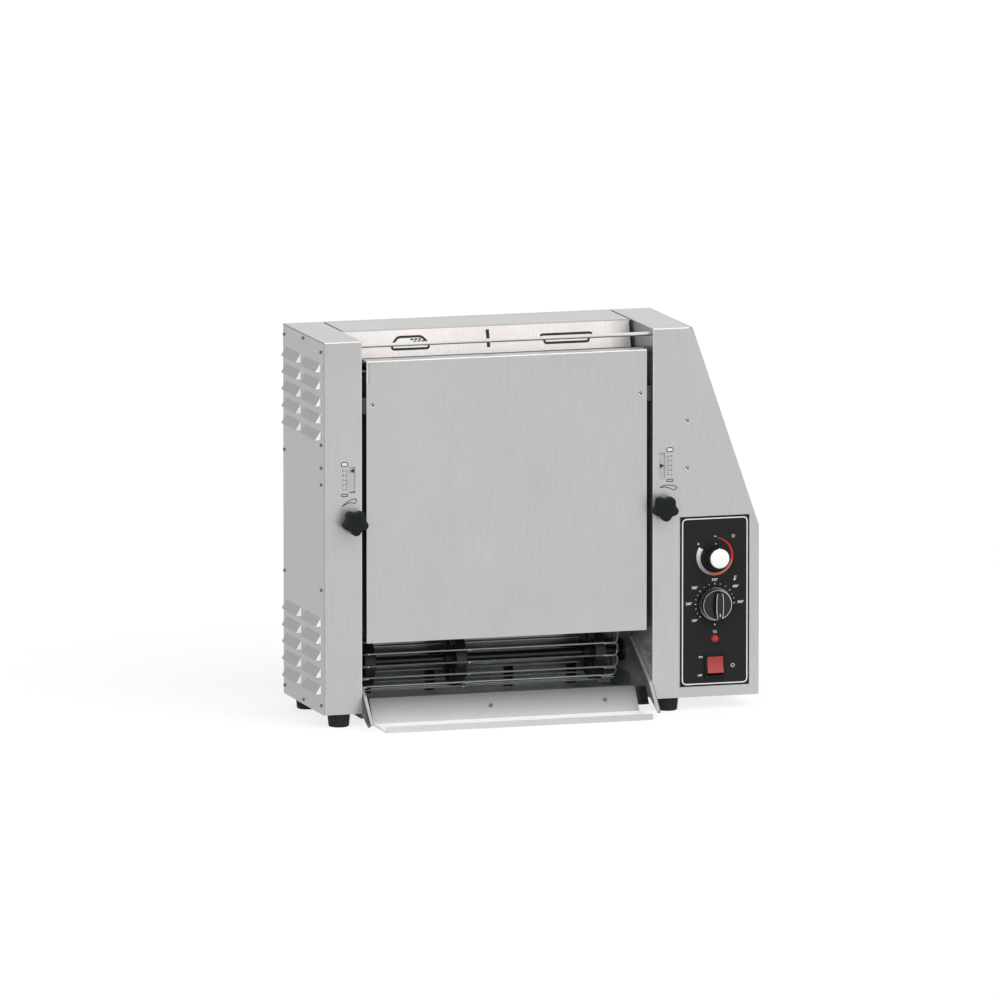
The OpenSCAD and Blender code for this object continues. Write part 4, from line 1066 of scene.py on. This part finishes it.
ARC_R = 24.2
ARC_STEPS = 28
ARC_PARTS = (
    ("speed_arc_red", "print_red", "red_lens", 83, -11, 0.8, 2.8),
    ("speed_arc_salmon", "print_salmon", "red_lens", -11, -109, 2.6, 3.6),
    ("speed_arc_grey", "print_grey", "white_plastic", -109, -211, 3.6, 6.2),
)
BORDER_IN = 3.0
BORDER_ROUND = 6.0
BORDER_STEPS = 8
BORDER_W = 1.5
THERMO_ANGLES = (220, 180, 140, 90, 40, 0)
THERMO_NUMBERS = ("150", "250", "300", "350", "450", "550")
THERMO_LABELS = ((-26.5, -20.7), (-34.0, 1.0), (-26.5, 21.0), (0.0, 30.2), (27.5, 20.8), (34.0, 0.6))
THERMO_CAP = 3.1
LONG_TICK = (24.3, 26.6)
LONG_TICK_W = 0.7
SHORT_TICK = (24.8, 26.2)
SHORT_TICK_W = 0.6
SWITCH_WORDS = (("ON", 493.0, 50.5), ("OFF", 492.2, 27.3))
SWITCH_CAP = 2.4
ARROW = ((-1.2, 90.6), (1.2, 90.6), (0.0, 93.0))
HEAT_AT = (PANEL_X, 82.3)
POWER_AT = (535.3, 38.6)
THERMOMETER_AT = (537.6, 149.6)
SPEED_AT = (535.3, 203.0)
PLUS_MINUS = (
    ((510.4, 203.6), (513.6, 203.6)),
    ((488.2, 194.6), (491.4, 194.6)),
    ((489.8, 193.0), (489.8, 196.2)),
)
PLUS_MINUS_W = 0.7
WAVES = (-1.9, 0.0, 1.9)
WAVE_STEPS = 10
WAVE_SWING = 0.45
WAVE_HALF = 1.9
WAVE_W = 0.5
POWER_R = 2.2
POWER_RING = (125, 415)
POWER_STROKE = (0.5, 3.0)
POWER_W = 0.6
BULB_R = 1.3
BULB_DROP = 1.8
STEM = (-1.2, 2.8)
STEM_W = 0.9
STEM_MARKS = (0.2, 1.3, 2.4)
STEM_MARK = (1.2, 2.4)
STEM_MARK_W = 0.45
CHEVRONS = (-1.6, 0.8)
CHEVRON_HALF = 2.0
CHEVRON_LONG = 1.5
CHEVRON_W = 0.65
SIGN_STEPS = 24


def speed_arc(face, name, look, slot, start, end, thin, thick):
    """Part of the tapered arc round the speed knob."""
    last = ARC_STEPS - 1
    widths = [thin + (thick - thin) * i / last for i in range(ARC_STEPS)]
    path = []
    for i, width in enumerate(widths):
        t = math.radians(start + (end - start) * i / last)
        radius = ARC_R - width / 2
        path.append((PANEL_X + radius * math.cos(t), SPEED_Z + radius * math.sin(t)))
    shape = Shape()
    shape.ribbon(path, widths, face)
    shape.build(name, look, "body", slot)


def radial(angle, inner, outer):
    """A short line that points away from the thermostat's axis."""
    t = math.radians(angle)
    return [(PANEL_X + r * math.cos(t), THERMO_Z + r * math.sin(t)) for r in (inner, outer)]


def thermo_ticks(shape, face):
    """Long ticks at the numbers and two short ones between neighbours."""
    for i, angle in enumerate(THERMO_ANGLES):
        shape.ribbon(radial(angle, *LONG_TICK), LONG_TICK_W, face)
        if i + 1 < len(THERMO_ANGLES):
            gap = THERMO_ANGLES[i + 1] - angle
            for share in (1 / 3, 2 / 3):
                shape.ribbon(radial(angle + gap * share, *SHORT_TICK), SHORT_TICK_W, face)


def heat_sign(shape, face, across, height):
    """Three rising waves."""
    for shift in WAVES:
        wave = []
        for i in range(WAVE_STEPS + 1):
            share = i / WAVE_STEPS
            swing = WAVE_SWING * math.sin(share * math.tau)
            wave.append((across + shift + swing, height - WAVE_HALF + 2 * WAVE_HALF * share))
        shape.ribbon(wave, WAVE_W, face)


def power_sign(shape, face, across, height):
    """An open ring with a stroke."""
    shape.ribbon(arc(across, height, POWER_R, *POWER_RING, SIGN_STEPS), POWER_W, face)
    shape.ribbon([(across, height + rise) for rise in POWER_STROKE], POWER_W, face)


def thermometer_sign(shape, face, across, height):
    """A bulb with a stem and three marks."""
    shape.prism(arc(across, height - BULB_DROP, BULB_R, 0, 345, SIGN_STEPS), face)
    shape.ribbon([(across, height + rise) for rise in STEM], STEM_W, face)
    for rise in STEM_MARKS:
        shape.ribbon([(across + reach, height + rise) for reach in STEM_MARK], STEM_MARK_W, face)


def speed_sign(shape, face, across, height):
    """Two arrow heads."""
    for shift in CHEVRONS:
        start = across + shift
        top = (start, height + CHEVRON_HALF)
        low = (start, height - CHEVRON_HALF)
        shape.ribbon([top, (start + CHEVRON_LONG, height), low], CHEVRON_W, face)


def make_panel_prints():
    face = upright(PANEL_FACE)
    for part in ARC_PARTS:
        speed_arc(face, *part)
    shape = Shape()
    half_h = (PANEL_HIGH - PANEL_LOW) / 2
    border = scaled(BOX, PANEL_X, PANEL_LOW + half_h, PANEL_HALF - BORDER_IN, half_h - BORDER_IN)
    shape.ribbon(rounded(border, BORDER_ROUND, BORDER_STEPS), BORDER_W, face, closed=True)
    thermo_ticks(shape, face)
    for words, (u, v) in zip(THERMO_NUMBERS, THERMO_LABELS):
        shape.lettering(words + "°", face, PANEL_X + u, THERMO_Z + v, THERMO_CAP)
    for words, across, height in SWITCH_WORDS:
        shape.lettering(words, face, across, height, SWITCH_CAP)
    shape.prism([(PANEL_X + u, v) for u, v in ARROW], face)
    heat_sign(shape, face, *HEAT_AT)
    power_sign(shape, face, *POWER_AT)
    thermometer_sign(shape, face, *THERMOMETER_AT)
    speed_sign(shape, face, *SPEED_AT)
    for stroke in PLUS_MINUS:
        shape.ribbon(stroke, PLUS_MINUS_W, face)
    shape.build("panel_prints", "print_white", "body", "white_plastic")


# Folds with painted highlights, seams, flanges, and painted glints on the tray floor and louvre ends

def make_fold_highlights_and_joints():
    """Painted highlights along the bends at the edges of the front sheets and over the gap under the hood's
    front edge, and the dark joints between sheets.
    """
    (left, depth, _), (right, _, top) = corners(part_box("front_cover"))
    (_, hood_front, _), (_, _, hood_top) = corners(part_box("top_hood"))
    front = upright(0.0)
    hood = upright(hood_front)
    cover = upright(depth)
    side = lambda u, v, lift: place(-lift, u, v)
    top_highlights = Shape()
    # Painted highlights: glowing strips along the top bends of the towers and the cover
    top_highlights.ribbon([(LEFT_FOLD_END, FOLD_Z), (LANE_LEFT - FOLD_END, FOLD_Z)], FOLD_W, front)
    top_highlights.ribbon([(LANE_RIGHT + FOLD_END, FOLD_Z), (RIGHT_TOP - EDGE_END, FOLD_Z)], FOLD_W, front)
    top_highlights.ribbon([(left + FOLD_END, top - FOLD_IN), (right - FOLD_END, top - FOLD_IN)], FOLD_W, cover)
    top_highlights.build("top_bend_highlights", "painted_glint_steel", "body", "bright_steel")
    bend_highlights = Shape()
    # Painted highlights: lighter strips along the lane edges, the cover's left fold and over the gap under
    # the hood
    for edge in (LANE_LEFT - FOLD_IN, LANE_RIGHT + FOLD_IN):
        bend_highlights.ribbon([(edge, EDGE_END), (edge, FOLD_Z - EDGE_END)], FOLD_W, front)
    fold = left + COVER_FOLD_IN
    bend_highlights.ribbon([(fold, top - COVER_FOLD_END), (fold, top - COVER_SEAM)], COVER_FOLD_W, cover)
    lip = hood_top - HOOD_FOLD_IN
    bend_highlights.ribbon([(LANE_LEFT + HOOD_FOLD_END, lip), (LANE_RIGHT - HOOD_FOLD_END, lip)], HOOD_FOLD_W, hood)
    bend_highlights.build("edge_bend_highlights", "bend_highlight_steel", "body", "brushed_steel")
    joints = Shape()
    seam = left + SEAM_IN
    low = top - COVER_SEAM
    hook = (seam + SEAM_HOOK[0], low - SEAM_HOOK[1])
    joints.ribbon([(seam, top - SEAM_END), (seam, low), hook], SEAM_W, cover)
    joints.ribbon([(FOLD_END, FOLD_Z), (BODY_DEPTH - FOLD_END, FOLD_Z)], SIDE_SEAM_W, side)
    joints.ribbon([(EDGE_SEAM_IN, EDGE_END), (EDGE_SEAM_IN, FOLD_Z - EDGE_END)], EDGE_SEAM_W, front)
    joints.build("sheet_joints", "seam_grey", "body", "dark_steel")


def make_cheek_flanges():
    """Turned-in front edges of the exit cheeks."""
    shape = Shape()
    for wall, inward in ((LANE_LEFT + SHEET, 1), (LANE_RIGHT - SHEET, -1)):
        rings = []
        inner = wall + inward * CHEEK_FLANGE
        for depth, height in CHEEK_EDGE:
            under = height - CHEEK_FLANGE_T
            rings.append([place(wall, depth, height), place(inner, depth, height),
                          place(inner, depth, under), place(wall, depth, under)])
        shape.loft(rings)
    shape.build("cheek_flanges", "flange_steel", "body", "brushed_steel", smooth=False)


def make_tray_floor_highlight():
    """A painted highlight on the exit tray's floor: a thin glowing plate between the slope's foot and the
    lip.
    """
    (left, _, low), (right, _, _) = corners(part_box("exit_chute"))
    foot_z = low + TRAY_RISE
    lip_d = CHUTE_FRONT + SHEET
    fall = (TRAY_RISE - SHEET) / (TRAY_FOOT - lip_d)
    floor = lambda u, v, lift: place(u, v, foot_z - fall * (TRAY_FOOT - v) + lift)
    middle = (TRAY_FOOT + lip_d) / 2
    shape = Shape()
    shape.ribbon([(left + TRAY_IN, middle), (right - TRAY_IN, middle)], TRAY_FOOT - lip_d - TRAY_GAP, floor)
    shape.build("tray_floor_highlight", "painted_glint_steel", "body", "bright_steel", smooth=False)


def make_louvre_end_glints():
    """Painted glints on the louvres' front ends: thin glowing plates."""
    shape = Shape()
    for front in LOUVRE_FRONTS:
        for low in LOUVRE_LOWS:
            for i in range(LOUVRE_COUNT):
                z = low + i * LOUVRE_PITCH
                outline = [(0.0, z), (-LOUVRE_OUT, z), (0.0, z + LOUVRE_H)]
                shape.loft([[place(u, front + step, v) for u, v in outline] for step in LOUVRE_END])
    shape.build("louvre_end_glints", "painted_glint_steel", "body", "bright_steel", smooth=False)


# Stage

def seen_directly(tree):
    """One for camera, glossy and transmission rays, nothing for the rest."""
    path = tree.nodes.new("ShaderNodeLightPath")
    total = path.outputs["Is Camera Ray"]
    for name in ("Is Glossy Ray", "Is Transmission Ray"):
        total = reckoned(tree, "ADD", total, path.outputs[name], clamp=True)
    return total


def make_world():
    world = bpy.data.worlds.new("studio")
    bpy.context.scene.world = world
    world.use_nodes = True
    tree = world.node_tree
    ground = tree.nodes["Background"]
    ground.inputs["Color"].default_value = (1, 1, 1, 1)
    level = moved(tree, seen_directly(tree), (0.0, 1.0), (WORLD_DIFFUSE, 1.0))
    tree.links.new(level, ground.inputs["Strength"])


def make_floor():
    look = bpy.data.materials.new("floor")
    look.use_nodes = True
    tree = look.node_tree
    tree.nodes.remove(tree.nodes["Principled BSDF"])
    matt = tree.nodes.new("ShaderNodeBsdfDiffuse")
    matt.inputs["Color"].default_value = FLOOR_COLOUR
    glow = tree.nodes.new("ShaderNodeEmission")
    strength = reckoned(tree, "MULTIPLY", seen_directly(tree), FLOOR_LIFT)
    tree.links.new(strength, glow.inputs["Strength"])
    total = tree.nodes.new("ShaderNodeAddShader")
    tree.links.new(matt.outputs[0], total.inputs[0])
    tree.links.new(glow.outputs[0], total.inputs[1])
    tree.links.new(total.outputs[0], tree.nodes["Material Output"].inputs["Surface"])
    mesh = bpy.data.meshes.new("floor")
    mesh.from_pydata([(u * FLOOR_HALF, v * FLOOR_HALF, 0) for u, v in BOX], [], [(0, 1, 2, 3)])
    mesh.materials.append(look)
    floor = in_scene("floor", mesh)


def direction(azimuth, elevation):
    """A unit vector; azimuth 0 points out of the front and turns to the right."""
    level = math.cos(elevation)
    return Vector((math.sin(azimuth) * level, -math.cos(azimuth) * level, math.sin(elevation)))


def make_sun(name, azimuth, elevation, strength):
    """A broad lamp that shines from a direction in degrees."""
    lamp = bpy.data.lights.new(name, "SUN")
    lamp.energy = strength
    lamp.angle = SUN_SPREAD
    made = in_scene(name, lamp)
    made.rotation_mode = "QUATERNION"
    towards = direction(math.radians(azimuth), math.radians(elevation))
    made.rotation_quaternion = towards.to_track_quat("Z", "Y")
    made.visible_glossy = False


def make_camera():
    back = direction(CAMERA_AZIMUTH, CAMERA_ELEVATION)
    lens = bpy.data.cameras.new("camera")
    lens.lens = CAMERA_LENS
    lens.sensor_width = CAMERA_SENSOR
    lens.clip_end = CAMERA_FAR
    made = in_scene("camera", lens)
    made.location = CAMERA_TARGET + back * CAMERA_DISTANCE
    made.rotation_mode = "QUATERNION"
    made.rotation_quaternion = back.to_track_quat("Z", "Y")
    bpy.context.scene.camera = made


make_camera()
make_world()
make_floor()
make_sun("key", *KEY_SUN)
make_sun("fill", *FILL_SUN)
bpy.context.scene.view_settings.view_transform = "Standard"

dress_nodes()
make_belt()
for tower in ("left", "right"):
    make_star_knob(tower)
    make_scale(tower)
    make_pointer(tower)
make_speed_knob()
make_thermostat_knob()
make_screws("side_screw", "side_cover_screws", "dark_screw", "screw_steel", ACROSS, 0.9)
make_screws("front_screw", "front_screws", "screw_steel", "screw_steel", BACK)
make_screws("rear_screw", "rear_panel_screws", "screw_steel", "screw_steel", BACK)
make_slide_prints()
make_panel_prints()
make_fold_highlights_and_joints()
make_cheek_flanges()
make_tray_floor_highlight()
make_louvre_end_glints()
soften_edges()
